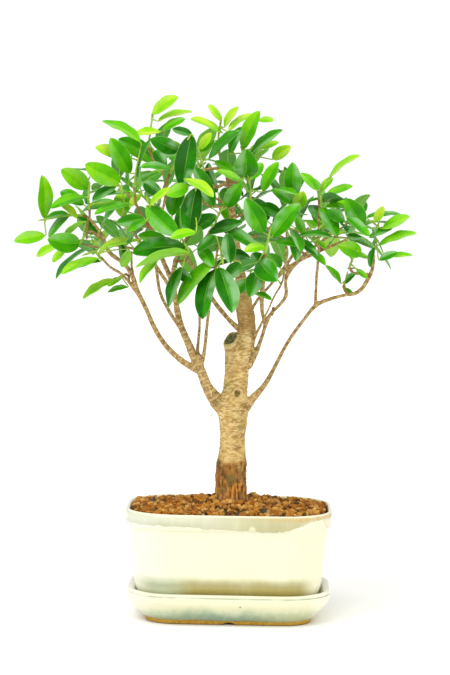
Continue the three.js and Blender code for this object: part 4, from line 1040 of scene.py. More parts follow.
class Room:
    """Everything placed so far, as points with the room that each needs round it"""

    def __init__(self):
        self.owners, self.blades, self.boxes = [], [], []
        self.places, self.rooms, self.groups = np.zeros((0, 3)), np.zeros(0), np.zeros(0, int)

    def settle(self, owner, places, rooms, is_blade=False):
        self.groups = np.append(self.groups, np.full(len(places), len(self.owners)))
        self.places = np.vstack([self.places, places])
        self.rooms = np.append(self.rooms, rooms)
        self.owners.append(owner)
        self.blades.append(is_blade)
        self.boxes.append((places.min(0) - BOX_MARGIN, places.max(0) + BOX_MARGIN))

    def settle_line(self, owner, line, spare):
        places, radii = points_along(*line, SAMPLE_STEP)
        self.settle(owner, places, radii + spare)

    def settle_blade(self, owner, blade):
        self.settle(owner, blade, np.full(len(blade), BLADE_ROOM), True)

    def crowding(self, owner, places, rooms):
        """How far short of its room a set of points comes, against others and against its own blades"""
        low, high = places.min(0), places.max(0)
        boxes = np.array(self.boxes)
        near = (boxes[:, 0] <= high).all(1) & (boxes[:, 1] >= low).all(1)
        own = np.array([o == owner for o in self.owners])
        worst = []
        for chosen, share in ((near & ~own, 1), (near & own & np.array(self.blades), OWN_ROOM_SHARE)):
            mask = chosen[self.groups]
            if not mask.any():
                worst.append(0.0)
                continue
            gaps = np.linalg.norm(places[:, None] - self.places[mask][None], axis=2)
            needs = share * (rooms[:, None] + self.rooms[mask][None])
            worst.append(max(0.0, float((needs - gaps).max())))
        return worst


def leaf_at(base, tip, axis, side, half, length, **more):
    """A leaf as its blade's base and tip, the way to its side and its face, and its half width and length"""
    return dict(base=base, tip=tip, side=side, normal=np.cross(axis, side), half=half, length=length, **more)


def drawn_leaf(row, depth, shift, swing):
    """A leaf drawn in the front elevation: it is rolled until it looks as wide as it is drawn"""
    base_x, base_z, tip_x, tip_z, width, lean, face = row
    drawn_length = math.hypot(tip_x - base_x, tip_z - base_z)
    full_length = max(width / LEAF_WIDTH_SHARE, LEAST_LEAN * drawn_length)
    away = lean * math.sqrt(full_length**2 - drawn_length**2)
    base = seen(base_x, base_z, depth + shift)
    tip = seen(tip_x, tip_z, depth + shift + away + swing)
    axis = unit(tip - base)
    sight = unit((base + tip) / 2 - EYE)
    flat_side = unit(np.cross(axis, sight)) * face
    flat_normal = np.cross(axis, flat_side)
    length = np.linalg.norm(tip - base)
    true_width = max(LEAF_WIDTH_SHARE * length, width)
    turn = math.acos(width / true_width)
    sides = [flat_side * math.cos(turn) + flat_normal * sign * math.sin(turn) for sign in (1, -1)]
    side = sides[0] if np.cross(axis, sides[0])[2] >= np.cross(axis, sides[1])[2] else sides[1]
    return leaf_at(base, tip, axis, side, true_width / 2, length)


def spiral_leaf(root, outward, angle, length, turn):
    """A leaf set round a stem by rule"""
    across = unit(np.cross(outward, UP))
    second = np.cross(outward, across)
    spin = angle + math.radians(turn)
    axis = unit(SPIRAL_OUT * outward + SPIRAL_SPREAD * (math.cos(spin) * across + math.sin(spin) * second))
    base = root + axis * BACK_PETIOLE
    tip = base + axis * length - UP * LEAF_DROOP * length
    along = unit(tip - base)
    side = unit(np.cross(UP, along))
    return leaf_at(base, tip, along, side, LEAF_WIDTH_SHARE * length / 2, np.linalg.norm(tip - base))


def blade_room(leaf):
    """Points all over a blade"""
    rows = math.ceil(leaf["length"] / SAMPLE_STEP)
    places = []
    for i in range(rows + 1):
        along = i / rows
        half = leaf["half"] * np.interp(along, *ROOM_OUTLINE)
        columns = max(1, math.ceil(2 * half / SAMPLE_STEP))
        across = half * (2 * np.arange(columns + 1) / columns - 1)[:, None]
        arch = LEAF_ARCH * leaf["length"] * 4 * along * (1 - along)
        middle = leaf["base"] + (leaf["tip"] - leaf["base"]) * along
        places.append(middle + leaf["normal"] * (arch + LEAF_FOLD * abs(across)) + leaf["side"] * across)
    return np.vstack(places)


def petiole_route(stem, leaf):
    """The leaf stalk leaves the stem at its nearest place, past the stem's first few millimetres"""
    places, _ = points_along(*rod(stem, 0), STEM_STEP)
    runs = np.cumsum([0, *np.linalg.norm(np.diff(places, axis=0), axis=1)])
    root = stem[-1]
    for place, run in zip(places, runs):
        closer = np.linalg.norm(place - leaf["base"]) < np.linalg.norm(root - leaf["base"])
        if run >= STEM_BARE_RUN and closer:
            root = place
    return np.array([root, leaf["base"]])


def fit_leaf(room, owner, stem, poses):
    """Takes the first of the leaf's poses that is clear of its neighbours, or else the least crowded"""
    best = None
    for leaf in poses:
        stalk = petiole_route(stem, leaf)
        blade = blade_room(leaf)
        stalk_points, stalk_radii = points_along(*rod(stalk, PETIOLE_RADIUS), SAMPLE_STEP)
        rooms = np.concatenate([np.full(len(blade), BLADE_ROOM), stalk_radii + STEM_SPARE])
        others, own = room.crowding(owner, np.vstack([blade, stalk_points]), rooms)
        cost = OTHERS_WEIGHT * others + own
        if best is None or cost < best["cost"]:
            best = dict(leaf=leaf, stalk=stalk, blade=blade, others=others, cost=cost)
        if cost == 0:
            break
    return best


def front_shoots():
    for name, shoot in FRONT_SHOOTS.items():
        first, last = shoot["depth"]
        depths = np.linspace(first, last, len(shoot["stem"]))
        stem = np.array([seen(x, z, y) for (x, z), y in zip(shoot["stem"], depths)])
        leaves = []
        for tone, *row in shoot["leaves"]:
            row += USUAL_LEAN_AND_FACE[len(row) - ALWAYS_DRAWN :]
            middle = (first + last) / 2
            poses = [(row, middle, shift, swing) for shift in LEAF_SHIFTS for swing in LEAF_SWINGS]
            leaves.append((tone, (drawn_leaf(*pose) for pose in poses)))
        yield name, stem, leaves


def between(limits, draw):
    return limits[0] + (limits[1] - limits[0]) * draw()


def back_shoots():
    draw = make_random(BACK_SEED)
    number = 0
    for count, rise, start_angle, end_angle in BACK_TIERS:
        for i in range(count):
            share = (i + between(BACK_SPREAD, draw)) / count
            turn = math.radians(start_angle + (end_angle - start_angle) * share)
            lift = math.radians(rise + BACK_TILT * (draw() - 0.5))
            outward = np.array([
                math.cos(turn) * math.cos(lift), math.sin(turn) * math.cos(lift), math.sin(lift)
            ])
            base = outward * CROWN_HALF * between(BACK_START, draw)
            base[2] -= CROWN_FALL * max(0, base[0]) * max(0, outward[2])
            base = base + CROWN_MIDDLE
            lean = unit(outward + BACK_LIFT * UP)
            stem = np.array([base, base + lean * BACK_STEM])
            start = 2 * math.pi * draw()
            leaves = []
            for k in range(BACK_LEAVES):
                root = stem[0] + (stem[1] - stem[0]) * (BACK_BARE + (1 - BACK_BARE) * k / (BACK_LEAVES - 1))
                place = (root, lean, start + k * GOLDEN_ANGLE, between(BACK_LEAF_LENGTH, draw))
                poses = [spiral_leaf(*place, turn) for turn in LEAF_TURNS]
                leaves.append((None, poses))
            number += 1
            yield f"back_{number}", stem, leaves


def place_crown():
    """Twigs, green stems and leaves, set where the solids have them"""
    room = Room()
    for name in LIMBS:
        room.settle_line("wood", limb_route(name), WOOD_SPARE)
    shoots = [*front_shoots(), *back_shoots()]
    twigs = []
    for name, stem, _ in shoots:
        twig = twig_route(stem[0], unit(stem[1] - stem[0]))
        twigs.append(twig)
        room.settle_line("wood", twig, WOOD_SPARE)
        room.settle_line(name, rod(stem, GREEN_STEM_RADIUS), STEM_SPARE)
    crown = {}
    for name, stem, leaves in shoots:
        crown[name] = dict(stem=stem, leaves=[])
        for tone, poses in leaves:
            fitted = fit_leaf(room, name, stem, poses)
            if fitted["others"] > MOST_CROWDING:
                continue
            room.settle_blade(name, fitted["blade"])
            room.settle_line(name, rod(fitted["stalk"], PETIOLE_RADIUS), STEM_SPARE)
            crown[name]["leaves"].append(dict(fitted["leaf"], stalk=fitted["stalk"], tone=tone))
    return room, twigs, crown


# Leaves: one blade is drawn flat, row by row, then copied and laid on every stalk

BLADE_COLUMNS = 8
BLADE_ROWS = 20
BLADE_THICKNESS = 0.45
TIP_WIDTH = 0.02
SHARP_LEAF_EDGE = 70
LEAF_SEED = 77

# The green stem and its scars, its bud from foot to tip, and a stalk from the stem on into the midrib
STEM_RADII = (1.12, 0.84)
STEM_SOCKET = 1.2
SCAR_STEP = 2.2
SCAR_SWELLING = 0.4
SCAR_REACH = 1.3
BUD = [(-1, 0.9), (1, 1.15), (3, 1.0), (5.5, 0.6), (8, 0.08)]
STALK_RADII = [1.15, 0.8, 0.7, 0.66, 0.64, 0.66, 0.72, 0.62, 0.22]
STALK_SIDES = 8

# How far a blade leaves the plain form, as shares of its length or half width, and its midrib's depth
BLADE_BLUNT = 0.17
BLADE_SWAY = 0.014
BLADE_SWEEP = 0.03
BLADE_CURL = 0.025
BLADE_WAVE = 0.055
BLADE_RIPPLES = (1.3, 2.5)
MIDRIB_GROOVE = 0.25

# Side veins: how far they sweep forward on their way to the edge, and their wave, about 13 from base to tip
VEIN_SWEEP = 0.2
VEIN_WAVE = 82

# Leaf colours from fresh to old, above and below
AGES = [
    (0, "#BFE23A"), (0.15, "#98D818"), (0.35, "#6CC407"), (0.5, "#4EAC04"), (0.65, "#369402"),
    (0.8, "#267F02"), (0.9, "#1B6B03"), (1, "#125803"),
]
AGES_BELOW = [(0, "#C6E246"), (0.3, "#88CC3A"), (0.6, "#68B03C"), (0.85, "#589E48"), (1, "#4E9048")]


def blade_outline(along):
    """The share of its full width that a fig blade has: fullest at the middle, drawn out to a short point"""
    power = 0.62 if along < 0.5 else 0.66
    return max(math.sin(math.pi * along) ** power, TIP_WIDTH)


def cut_blade():
    """The pattern of a blade: one long and one wide"""
    blade = start_from(
        bpy.ops.mesh.primitive_grid_add, x_subdivisions=BLADE_COLUMNS, y_subdivisions=BLADE_ROWS, size=1
    )
    bpy.ops.object.mode_set(mode="EDIT")
    for row in range(BLADE_ROWS + 1):
        level = row / BLADE_ROWS - 0.5
        select_points(blade, lambda v: abs(v.co.y - level) < 0.4 / BLADE_ROWS)
        bpy.ops.transform.resize(value=(blade_outline(row / BLADE_ROWS), 1, 1), center_override=(0, level, 0))
    leave_edit()
    return blade


def lay_blade(pattern, leaf, draw):
    """A copy of the pattern, laid from the leaf's base to its tip: folded, pillowed, arched and waved"""
    blade = pattern.copy()
    blade.data = pattern.data.copy()
    bpy.context.collection.objects.link(blade)
    flat = points_of(pattern.data)
    across = flat[:, 0:1] * 2
    along = flat[:, 1:2] + 0.5
    swell = np.sin(math.pi * along)
    outline = np.array([blade_outline(min(max(a, 0), 1)) for a in along[:, 0]])[:, None]
    share = np.abs(across) / np.maximum(outline, TIP_WIDTH)
    half, length = leaf["half"], leaf["length"]
    blunt = BLADE_BLUNT * draw() * (0.35 + 0.65 * along)
    across = across * np.maximum(swell, 0.06) ** -blunt

    fold = LEAF_FOLD * np.abs(across) * half * (1.25 - 0.5 * share)
    arch = LEAF_ARCH * length * 4 * along * (1 - along)
    sway = BLADE_SWAY * length * (2 * draw() - 1) * np.sin(2 * math.pi * along)
    ripples = between(BLADE_RIPPLES, draw)
    phase = 2 * math.pi * draw()
    side_phase = phase + 1.7 * np.sign(across)
    wave = BLADE_WAVE * half * share**3 * outline * np.sin(2 * math.pi * ripples * along + side_phase)
    groove = -MIDRIB_GROOVE * (share < 0.1) * swell
    curl = BLADE_CURL * length * (draw() - 0.3) * swell * across

    spine = leaf["base"] + (leaf["tip"] - leaf["base"]) * along
    sweep = BLADE_SWEEP * length * (2 * draw() - 1) * swell
    places = spine + leaf["side"] * (sweep - across * half)
    places = places + leaf["normal"] * (arch + fold + sway + wave + groove + curl)
    move_points(blade.data, tree_places(places))
    mark(blade.data, "age", leaf["age"])
    # Which half of the blade is painted as the lit one
    mark(blade.data, "lit_side", math.copysign(1, draw() - 0.5))
    mark(blade.data, "across", share[:, 0] * np.sign(across[:, 0]))
    mark(blade.data, "along", along[:, 0])
    return blade


def stalk_line(stem, leaf):
    """The leaf stalk springs from the stem and turns into the blade's own line"""
    root, base = leaf["stalk"]
    axis = unit(leaf["tip"] - leaf["base"])
    reach = np.linalg.norm(base - root)
    socket = base + axis * 0.06 * leaf["length"] - leaf["normal"] * 0.1
    leave = unit(unit(base - root) + 0.5 * unit(stem[-1] - stem[0]))
    shares = np.linspace(0, 1, 7)[:, None]
    first = root + leave * 0.35 * reach
    second = base - axis * min(0.3 * reach, 3)
    places = (
        (1 - shares) ** 3 * root + 3 * shares * (1 - shares) ** 2 * first
        + 3 * shares**2 * (1 - shares) * second + shares**3 * base
    )
    vein_end = leaf["base"] + (leaf["tip"] - leaf["base"]) * 0.3
    vein_end = vein_end + leaf["normal"] * (LEAF_ARCH * leaf["length"] * 0.84 - 0.35)
    places = np.vstack([places, socket, vein_end])
    return places, STALK_RADII


def stem_lines(stem, leaves):
    """The green stem with a swelling at each leaf's scar, and the pointed bud at its end"""
    places, _ = points_along(*rod(stem, 0), SCAR_STEP)
    places[0] = stem[0] - unit(stem[1] - stem[0]) * STEM_SOCKET
    roots = [leaf["stalk"][0] for leaf in leaves]
    near = [min([np.linalg.norm(p - root) for root in roots] or [9]) for p in places]
    slimmer = np.linspace(*STEM_RADII, len(places), endpoint=False)
    radii = slimmer + SCAR_SWELLING * np.exp(-((np.array(near) / SCAR_REACH) ** 2))
    heading = unit(stem[-1] - stem[-2])
    bud = [stem[-1] + heading * run for run, _ in BUD]
    return [(places, radii), (bud, [radius for _, radius in BUD])]


def finish_foliage(name, blades, lines, stalk_green, *nodes):
    """Gives the blades their thickness and joins them with their stalks in one piece"""
    foliage = join(f"blades_of_{name}", blades)
    thickness = BLADE_THICKNESS * MM
    finish_with(foliage, "SOLIDIFY", thickness=thickness, offset=0, material_offset=1, material_offset_rim=1)
    stalks = drawn_tubes("stalks", lines, STALK_SIDES, smooth=False)
    stalks.data.materials.append(stalk_green)
    piece = join(name, [foliage, stalks])
    shade(piece, SHARP_LEAF_EDGE)
    hand_in(piece, "leaf", *nodes)


def grow_crown(crown, inner):
    upper, under, stalk_green = leaf_upper(), leaf_underside(), green_stalk()
    pattern = cut_blade()
    pattern.data.materials.append(upper)
    pattern.data.materials.append(under)
    draw = make_random(LEAF_SEED)
    for name, shoot in crown.items():
        stem, leaves = shoot["stem"], shoot["leaves"]
        blades = []
        for leaf in leaves:
            leaf["age"] = between(BACK_AGES, draw) if leaf["tone"] is None else leaf["tone"]
            blades.append(lay_blade(pattern, leaf, draw))
        lines = stem_lines(stem, leaves) + [stalk_line(stem, leaf) for leaf in leaves]
        finish_foliage(f"shoot_{name}", blades, lines, stalk_green, name)
    blades = [lay_blade(pattern, leaf, draw) for leaf in inner]
    finish_foliage("inner_leaves", blades, [stalk_line(leaf["stalk"], leaf) for leaf in inner], stalk_green)
    bpy.data.objects.remove(pattern)


def side_veins(skin, along, side):
    """Veins that leave the midrib and sweep forward to the edge"""
    swept = skin.math("SUBTRACT", along, skin.times(side, VEIN_SWEEP))
    return skin.math("SINE", skin.times(swept, VEIN_WAVE))


def leaf_upper():
    """Glossy upper face: greener with age, one half painted lighter as if lit and with a painted sheen, with
    a pale midrib and faint veins
    """
    skin = Finish("glossy_upper_leaf", Specular_IOR_Level=0.09)
    age, across, along = skin.number("age"), skin.number("across"), skin.number("along")
    side = skin.math("ABSOLUTE", across)
    patches = skin.noise(60, detail=3)
    # One half of each blade is painted lighter as if lit, the other painted darker as if in shade
    lit_half = skin.times(across, skin.number("lit_side"))
    tone = skin.plus(
        age, skin.fade(patches, 0.3, 0.7, -0.08, 0.08), skin.fade(along, 0.45, 1.05, 0.0, -0.07),
        skin.fade(lit_half, -0.12, 0.12, 0.07, -0.07),
    )
    # Painted sheen: pale gloss patches on the lit half of the older leaves
    painted_sheen = skin.times(
        skin.fade(skin.noise(34, detail=2, warp=0.3), 0.41, 0.57), skin.fade(lit_half, 0.05, 0.45),
        skin.fade(along, 0.02, 0.3), skin.fade(age, 0.2, 0.7, 0.15, 0.72),
    )
    veins = skin.fade(side_veins(skin, along, side), 0.8, 1.0)
    veins = skin.times(veins, skin.fade(side, 0.7, 0.95, 1.0, 0.0))
    midrib = skin.times(skin.fade(side, 0.02, 0.07, 0.26, 0.0), skin.fade(along, 0.4, 0.9, 1.0, 0.1))
    surface = skin.layers(
        skin.ramp(tone, *AGES),
        (painted_sheen, "#93BE8A"),
        (skin.times(veins, 0.05), "#8CC23A"),
        (midrib, "#A9D65A"),
        (skin.fade(side, 0.9, 1.0, 0.0, 0.5), "#A2C85E"),
    )
    skin.set("Base Color", surface)
    skin.set("Roughness", skin.fade(patches, 0.3, 0.7, 0.2, 0.34))
    skin.bump(skin.plus(skin.times(veins, 0.5), skin.times(patches, 0.8)), 0.0003, 0.5)
    return skin.material


def leaf_underside():
    """Duller and paler, with the midrib standing out"""
    skin = Finish("pale_leaf_underside", Roughness=0.55, Specular_IOR_Level=0.1)
    age, across, along = skin.number("age"), skin.number("across"), skin.number("along")
    side = skin.math("ABSOLUTE", across)
    veins = skin.fade(side_veins(skin, along, side), 0.7, 1.0, 0.0, 0.15)
    surface = skin.layers(
        skin.ramp(age, *AGES_BELOW),
        (veins, "#A9C87A"),
        (skin.fade(side, 0.03, 0.1, 0.55, 0.0), "#B4D478"),
        (skin.fade(skin.noise(90), 0.4, 0.7, 0, 0.2), "#6F9858"),
    )
    skin.set("Base Color", surface)
    skin.bump(veins, 0.0003, 0.5)
    return skin.material


def green_stalk():
    stalk = Finish("yellow_green_stalk", Roughness=0.4)
    surface = stalk.ramp(stalk.noise(140, detail=3), (0.3, "#7FA824"), (0.5, "#98BC34"), (0.7, "#B2CC58"))
    stalk.set("Base Color", surface)
    stalk.bump(stalk.noise(900), 0.0001, 0.4)
    return stalk.material


# Inner leaves: they spring from the older twigs and fill the open places of the crown

# The crown's edge in the front elevation
CROWN_EDGE = [
    (-186, 375), (-190, 430), (-176, 414), (-150, 448), (-125, 474), (-100, 488), (-72, 494), (-50, 506),
    (-30, 486), (-10, 486), (5, 497), (25, 494), (40, 478), (58, 470), (66, 450), (95, 434), (112, 426),
    (128, 416), (142, 402), (160, 398), (158, 374), (130, 362), (96, 362), (60, 358), (45, 344), (25, 330),
    (-10, 324), (-25, 316), (-38, 336), (-60, 356), (-90, 354), (-104, 364), (-125, 358), (-150, 366),
    (-172, 362),
]
OPEN_CELL = 2
COVER_ALONG = (0.03, 0.97, 24)
COVER_ACROSS = (-0.94, 0.94, 9)
COVER_ROUNDNESS = 0.64
INNER_START = 338
INNER_STEP = 7
INNER_LENGTH = (27, 43)
INNER_STALK = (7, 15)
INNER_TRIES = 5
INNER_GAIN = 0.34
INNER_OUTSIDE = 0.12
INNER_CROWDING = 3
INNER_AGES = (0.5, 1)
INNER_WIDTH = (0.4, 0.52)
INNER_ROLL = 75
INNER_SAG = 0.45
INNER_AWAY = np.array([0.6, 1, 0.7])
INNER_TOWARDS_US = np.array([0, -0.35, 0.25])
INNER_HEADING = (0.35, 2.1)
INNER_SEED = 3023
CROWN_AXIS = np.array([-6.0, 4.0, 372.0])


def drawn(places):
    """Where places in the tree's frame lie in the front elevation"""
    stretch = 1 - places[:, 1] / EYE[1]
    return (places[:, [0, 2]] - EYE[[0, 2]]) / stretch[:, None] + EYE[[0, 2]]


def cells_of(places):
    """The squares of the front elevation that places fall in"""
    return {tuple(cell) for cell in np.floor(drawn(places) / OPEN_CELL).astype(int).tolist()}


def blade_cells(leaf):
    """The squares that a blade covers, from points set close together over it"""
    along, across = np.meshgrid(np.linspace(*COVER_ALONG), np.linspace(*COVER_ACROSS))
    half = leaf["half"] * np.sin(np.pi * along) ** COVER_ROUNDNESS
    spine = leaf["base"] + (leaf["tip"] - leaf["base"]) * along.reshape(-1, 1)
    return cells_of(spine + leaf["side"] * (half * across).reshape(-1, 1))


def within(edge, spot):
    """Whether a spot lies inside a closed edge"""
    inside = False
    for (x1, z1), (x2, z2) in zip(edge, edge[1:] + edge[:1]):
        if (z1 > spot[1]) != (z2 > spot[1]) and spot[0] < x1 + (spot[1] - z1) * (x2 - x1) / (z2 - z1):
            inside = not inside
    return inside


def inner_leaf(root, draw):
    """A leaf that turns from its twig to the outside of the crown"""
    facing = unit(unit((root - CROWN_AXIS) * INNER_AWAY) + INNER_TOWARDS_US)
    loose = np.array([draw() - 0.5, draw() - 0.5, draw() - 0.5])
    outward_pull, free_play = INNER_HEADING
    heading = unit(outward_pull * facing + free_play * loose)
    base = root + heading * between(INNER_STALK, draw)
    length = between(INNER_LENGTH, draw)
    axis = unit(heading - UP * INNER_SAG * draw())
    flat = unit(np.cross(axis, facing))
    roll = math.radians(INNER_ROLL * (draw() - 0.5))
    side = flat * math.cos(roll) + np.cross(axis, flat) * math.sin(roll)
    half = length * between(INNER_WIDTH, draw) / 2
    if np.cross(axis, side)[2] < 0:
        side = -side
    stalk, age = np.array([root, base]), between(INNER_AGES, draw)
    return leaf_at(base, base + axis * length, axis, side, half, length, stalk=stalk, age=age)


def fill_crown(room, twigs, crown):
    """Leaves that cover what is still open inside the crown's edge, and keep clear of the others"""
    draw = make_random(INNER_SEED)
    covered = set()
    for shoot in crown.values():
        for leaf in shoot["leaves"]:
            covered |= blade_cells(leaf)
    roots = []
    for line in [*twigs, *map(limb_route, GROWING_LIMBS)]:
        spots, _ = points_along(*line, INNER_STEP)
        roots += [spot for spot in spots if spot[2] > INNER_START]
    roots.sort(key=lambda root: draw())
    leaves = []
    for _ in range(INNER_TRIES):
        for root in roots:
            leaf = inner_leaf(root, draw)
            cells = blade_cells(leaf)
            gain = len(cells - covered)
            middles = [((x + 0.5) * OPEN_CELL, (z + 0.5) * OPEN_CELL) for x, z in cells]
            outside = sum(not within(CROWN_EDGE, middle) for middle in middles)
            if gain < INNER_GAIN * len(cells) or outside > INNER_OUTSIDE * len(cells):
                continue
            blade = blade_room(leaf)
            if max(room.crowding("inner", blade, np.full(len(blade), BLADE_ROOM))) > INNER_CROWDING:
                continue
            room.settle_blade("inner", blade)
            covered |= cells
            leaves.append(leaf)
    return leaves


# Wood: trunk and limbs drawn as tapering tubes, grown into one skin, then given their bark

TRUNK_TUBE_SIDES = 24
SKIN_GRAIN = 0.95
CUT_FACE = (2.4, 280, -3)
CUT_FACE_LOOK = (-0.55, -0.5, 0.67)
CUT_FACE_DEPTH = 1.4
CUT_DARK_RADIUS = 7.6
LEADER_ABOVE = 284
KNOT = dict(x=9, z=226, front=13.6, radius=4.2, lip=1.6)
DIMPLES = [(-13, 216, 3.4), (12, 190, 3.2), (15, 214, 3)]
FLAKY_LEVELS = (144, 176)
FOOT_LEVEL = 116
STOUT_GIRTHS = (6, 10)
THIN_GIRTHS = (2.0, 4.5)

# The bark's relief: wrinkles and grain, which the leader has less and more of, flakes, lumps, rings and scars
WRINKLE_HEIGHT = 0.45
WRINKLE_LEADER_LOSS = 0.3
GRAIN_HEIGHT = 0.25
GRAIN_LEADER_GAIN = 0.3
FLAKE_HEIGHT = 1.5
LUMP_SHARE = 0.05
RING_HEIGHT = 0.42
WART_HEIGHT = 0.55
DIMPLE_DEPTH = 1.1
DIMPLE_LIP = 0.9
KNOT_DEPTH = 1.6
CALLUS_HEIGHT = 0.7
RING_SPACING = 7.5
SHARP_WOOD_EDGE = 80
TWIG_SIDES = 10
TWIG_RING_STEP = 2.6
TWIG_SEED = 31


def trunk_line():
    places = [seen((left + right) / 2, z, 0) for z, left, right, _ in TRUNK_LEVELS]
    radii = [(right - left) / 4 + depth / 2 for _, left, right, depth in TRUNK_LEVELS]
    return places, radii


def knot_ring():
    """The healed ring round a shoot that was cut off at the front of the trunk"""
    return start_from(
        bpy.ops.mesh.primitive_torus_add,
        major_radius=KNOT["radius"] * MM, minor_radius=KNOT["lip"] * MM,
        location=tree_places(seen(KNOT["x"], KNOT["z"], -KNOT["front"])),
        rotation=(math.radians(82), 0, PLANTED_TURN),
    )


def nearest_limbs(places, lines):
    """For each place, the run along its nearest limb, that limb's radius there, and which limb it is"""
    best = np.full(len(places), 1e9)
    runs, girths, owners = np.zeros(len(places)), np.ones(len(places)), np.zeros(len(places), int)
    for owner, (spots, radii) in enumerate(lines):
        run = 0
        for a, b, first, last in zip(spots, spots[1:], radii, radii[1:]):
            step = b - a
            length = np.linalg.norm(step)
            share = np.clip((places - a) @ step / length**2, 0, 1)
            girth = first + (last - first) * share
            gap = np.linalg.norm(places - a - share[:, None] * step, axis=1) - girth
            closer = gap < best
            best[closer] = gap[closer]
            runs[closer] = run + share[closer] * length
            girths[closer] = girth[closer]
            owners[closer] = owner
            run += length
    return runs, girths, owners


def noise_at(places, scale, seed=0.0):
    """Smooth noise, about -1 to 1, at places stretched by a scale"""
    shift = Vector((seed, seed, seed))
    return np.array([noise.noise(Vector(p) + shift) for p in places * scale])


def ridges_at(places, scale, seed=0.0):
    return 1 - 2 * np.abs(noise_at(places, scale, seed))


def fade(values, low, high):
    """Smoothly from 0 at low to 1 at high"""
    share = np.clip((values - low) / (high - low), 0, 1)
    return share * share * (3 - 2 * share)


def peak(offset, width):
    """1 where the offset is 0, falling away on both sides over the width"""
    return np.exp(-((offset / width) ** 2))


def give_bark(wood, lines):
    """Raises the bark and keeps its marks: crevices, rings, the flaky foot, cut wood and knots"""
    mesh = wood.data
    world = points_of(mesh)
    places = tree_frame(world)
    run, girth, owner = nearest_limbs(places, lines)
    x, y, height = places.T
    stout = fade(girth, *STOUT_GIRTHS)
    slim = 1 - stout
    flaky = stout * (1 - fade(height + 10 * noise_at(places, 0.09), *FLAKY_LEVELS))
    leader = fade(height, LEADER_ABOVE, LEADER_ABOVE + 8)

    plates = ridges_at(places, np.array([0.34, 0.34, 0.085]), 3.1)
    cracks = ridges_at(places, 0.16, 8.4)
    flake = 0.75 * plates + 0.45 * cracks
    wrinkle = ridges_at(places, np.array([0.13, 0.13, 0.44]), 5.7)
    fine = noise_at(places, 0.55, 1.3)
    lumps = noise_at(places, 0.11, 9.9)
    ring_place = run / RING_SPACING + 0.35 * noise_at(places, 0.03)
    ring = peak(ring_place % 1 - 0.5, 0.13)
    warty = np.maximum(noise_at(places, 0.75, 4.4), 0)

    wrinkles = (WRINKLE_HEIGHT - WRINKLE_LEADER_LOSS * leader) * (wrinkle - 0.4)
    grain = (GRAIN_HEIGHT + GRAIN_LEADER_GAIN * leader) * fine
    rise = stout * (1 - flaky) * (wrinkles + grain) + flaky * (FLAKE_HEIGHT * (flake - 0.45) + 0.4 * fine)
    rise += slim * np.minimum(girth / 5, 1) * (RING_HEIGHT * ring + 0.35 * fine + WART_HEIGHT * warty - 0.1)
    rise += LUMP_SHARE * (1 + leader) * girth * lumps

    scar = np.zeros(len(places))
    for spot_x, spot_z, radius in DIMPLES:
        gap = np.hypot(x - spot_x, height - spot_z) / radius
        front = y < -4
        scar = np.maximum(scar, front * peak(gap, 1))
        rise += front * (DIMPLE_LIP * peak(gap - 1.35, 0.4) - DIMPLE_DEPTH * peak(gap, 1))
    knot_gap = np.hypot(x - KNOT["x"], height - KNOT["z"]) / KNOT["radius"]
    knot_front = y < -6
    rise -= knot_front * KNOT_DEPTH * peak(knot_gap, 0.62)
    knot_dark = knot_front * peak(knot_gap, 0.75) * fade(height, KNOT["z"] - 3, KNOT["z"] + 2)
    knot_lip = knot_front * peak(knot_gap - 1.1, 0.24)

    from_cut = places - seen(*CUT_FACE)
    above_cut = from_cut @ unit(np.array(CUT_FACE_LOOK))
    spread = np.linalg.norm(from_cut, axis=1) + noise_at(places, 0.3, 6.1)
    outer = fade(spread, CUT_DARK_RADIUS - 0.8, CUT_DARK_RADIUS + 0.4)
    cut = (owner == STUB_LINE) * fade(above_cut, -CUT_FACE_DEPTH, -0.4 * CUT_FACE_DEPTH) * (1 - outer)
    callus = (owner == STUB_LINE) * fade(above_cut, -3, -1.2) * outer
    rise += CALLUS_HEIGHT * callus
    foot = peak(height - FOOT_LEVEL, 3.6) * stout
    rise += foot * (1.0 + 1.2 * noise_at(places, 0.2, 2.2))
    move_points(mesh, world + normals_of(mesh) * rise[:, None] * MM)

    upper = stout * (1 - flaky) * (1 - 0.7 * leader)
    crevice = upper * fade(wrinkle, 0.75, 0.1) + flaky * fade(flake, 0.75, 0.1)
    crevice += slim * (0.65 * (1 - ring) * fade(fine, 0.35, -0.3))
    pale = upper * fade(wrinkle, 0.55, 0.95) + slim * np.maximum(ring * 0.7, fade(warty, 0.1, 0.4))
    pale = np.maximum(pale, 1.3 * np.maximum(callus, knot_lip))
    marks = dict(
        crevice=crevice, pale=pale, flaky=flaky, stout=stout, leader=stout * leader, cut=cut, foot=foot,
        thin=1 - fade(girth, *THIN_GIRTHS), scar=np.maximum(scar * 0.6, knot_dark),
    )
    for name, values in marks.items():
        mark(mesh, name, np.clip(values, 0, 1))


def pruned_top():
    """The cut top: its tube drawn on past the cut, and taken off there with a block"""
    places, radii = limb_route("pruned_stub")
    onward = places[-1] + 8 * unit(places[-1] - places[-2])
    stub = drawn_tubes("pruned_top", [([*places, onward], [*radii, radii[-1]])], TRUNK_TUBE_SIDES)
    look = PLANTING.to_3x3() @ Vector(CUT_FACE_LOOK).normalized()
    place = Vector(tree_places(seen(*CUT_FACE)))
    block = start_from(bpy.ops.mesh.primitive_cube_add, size=40 * MM, location=place + look * 20 * MM)
    block.rotation_euler = look.to_track_quat("Z", "Y").to_euler()
    cut_away(stub, block)
    return stub


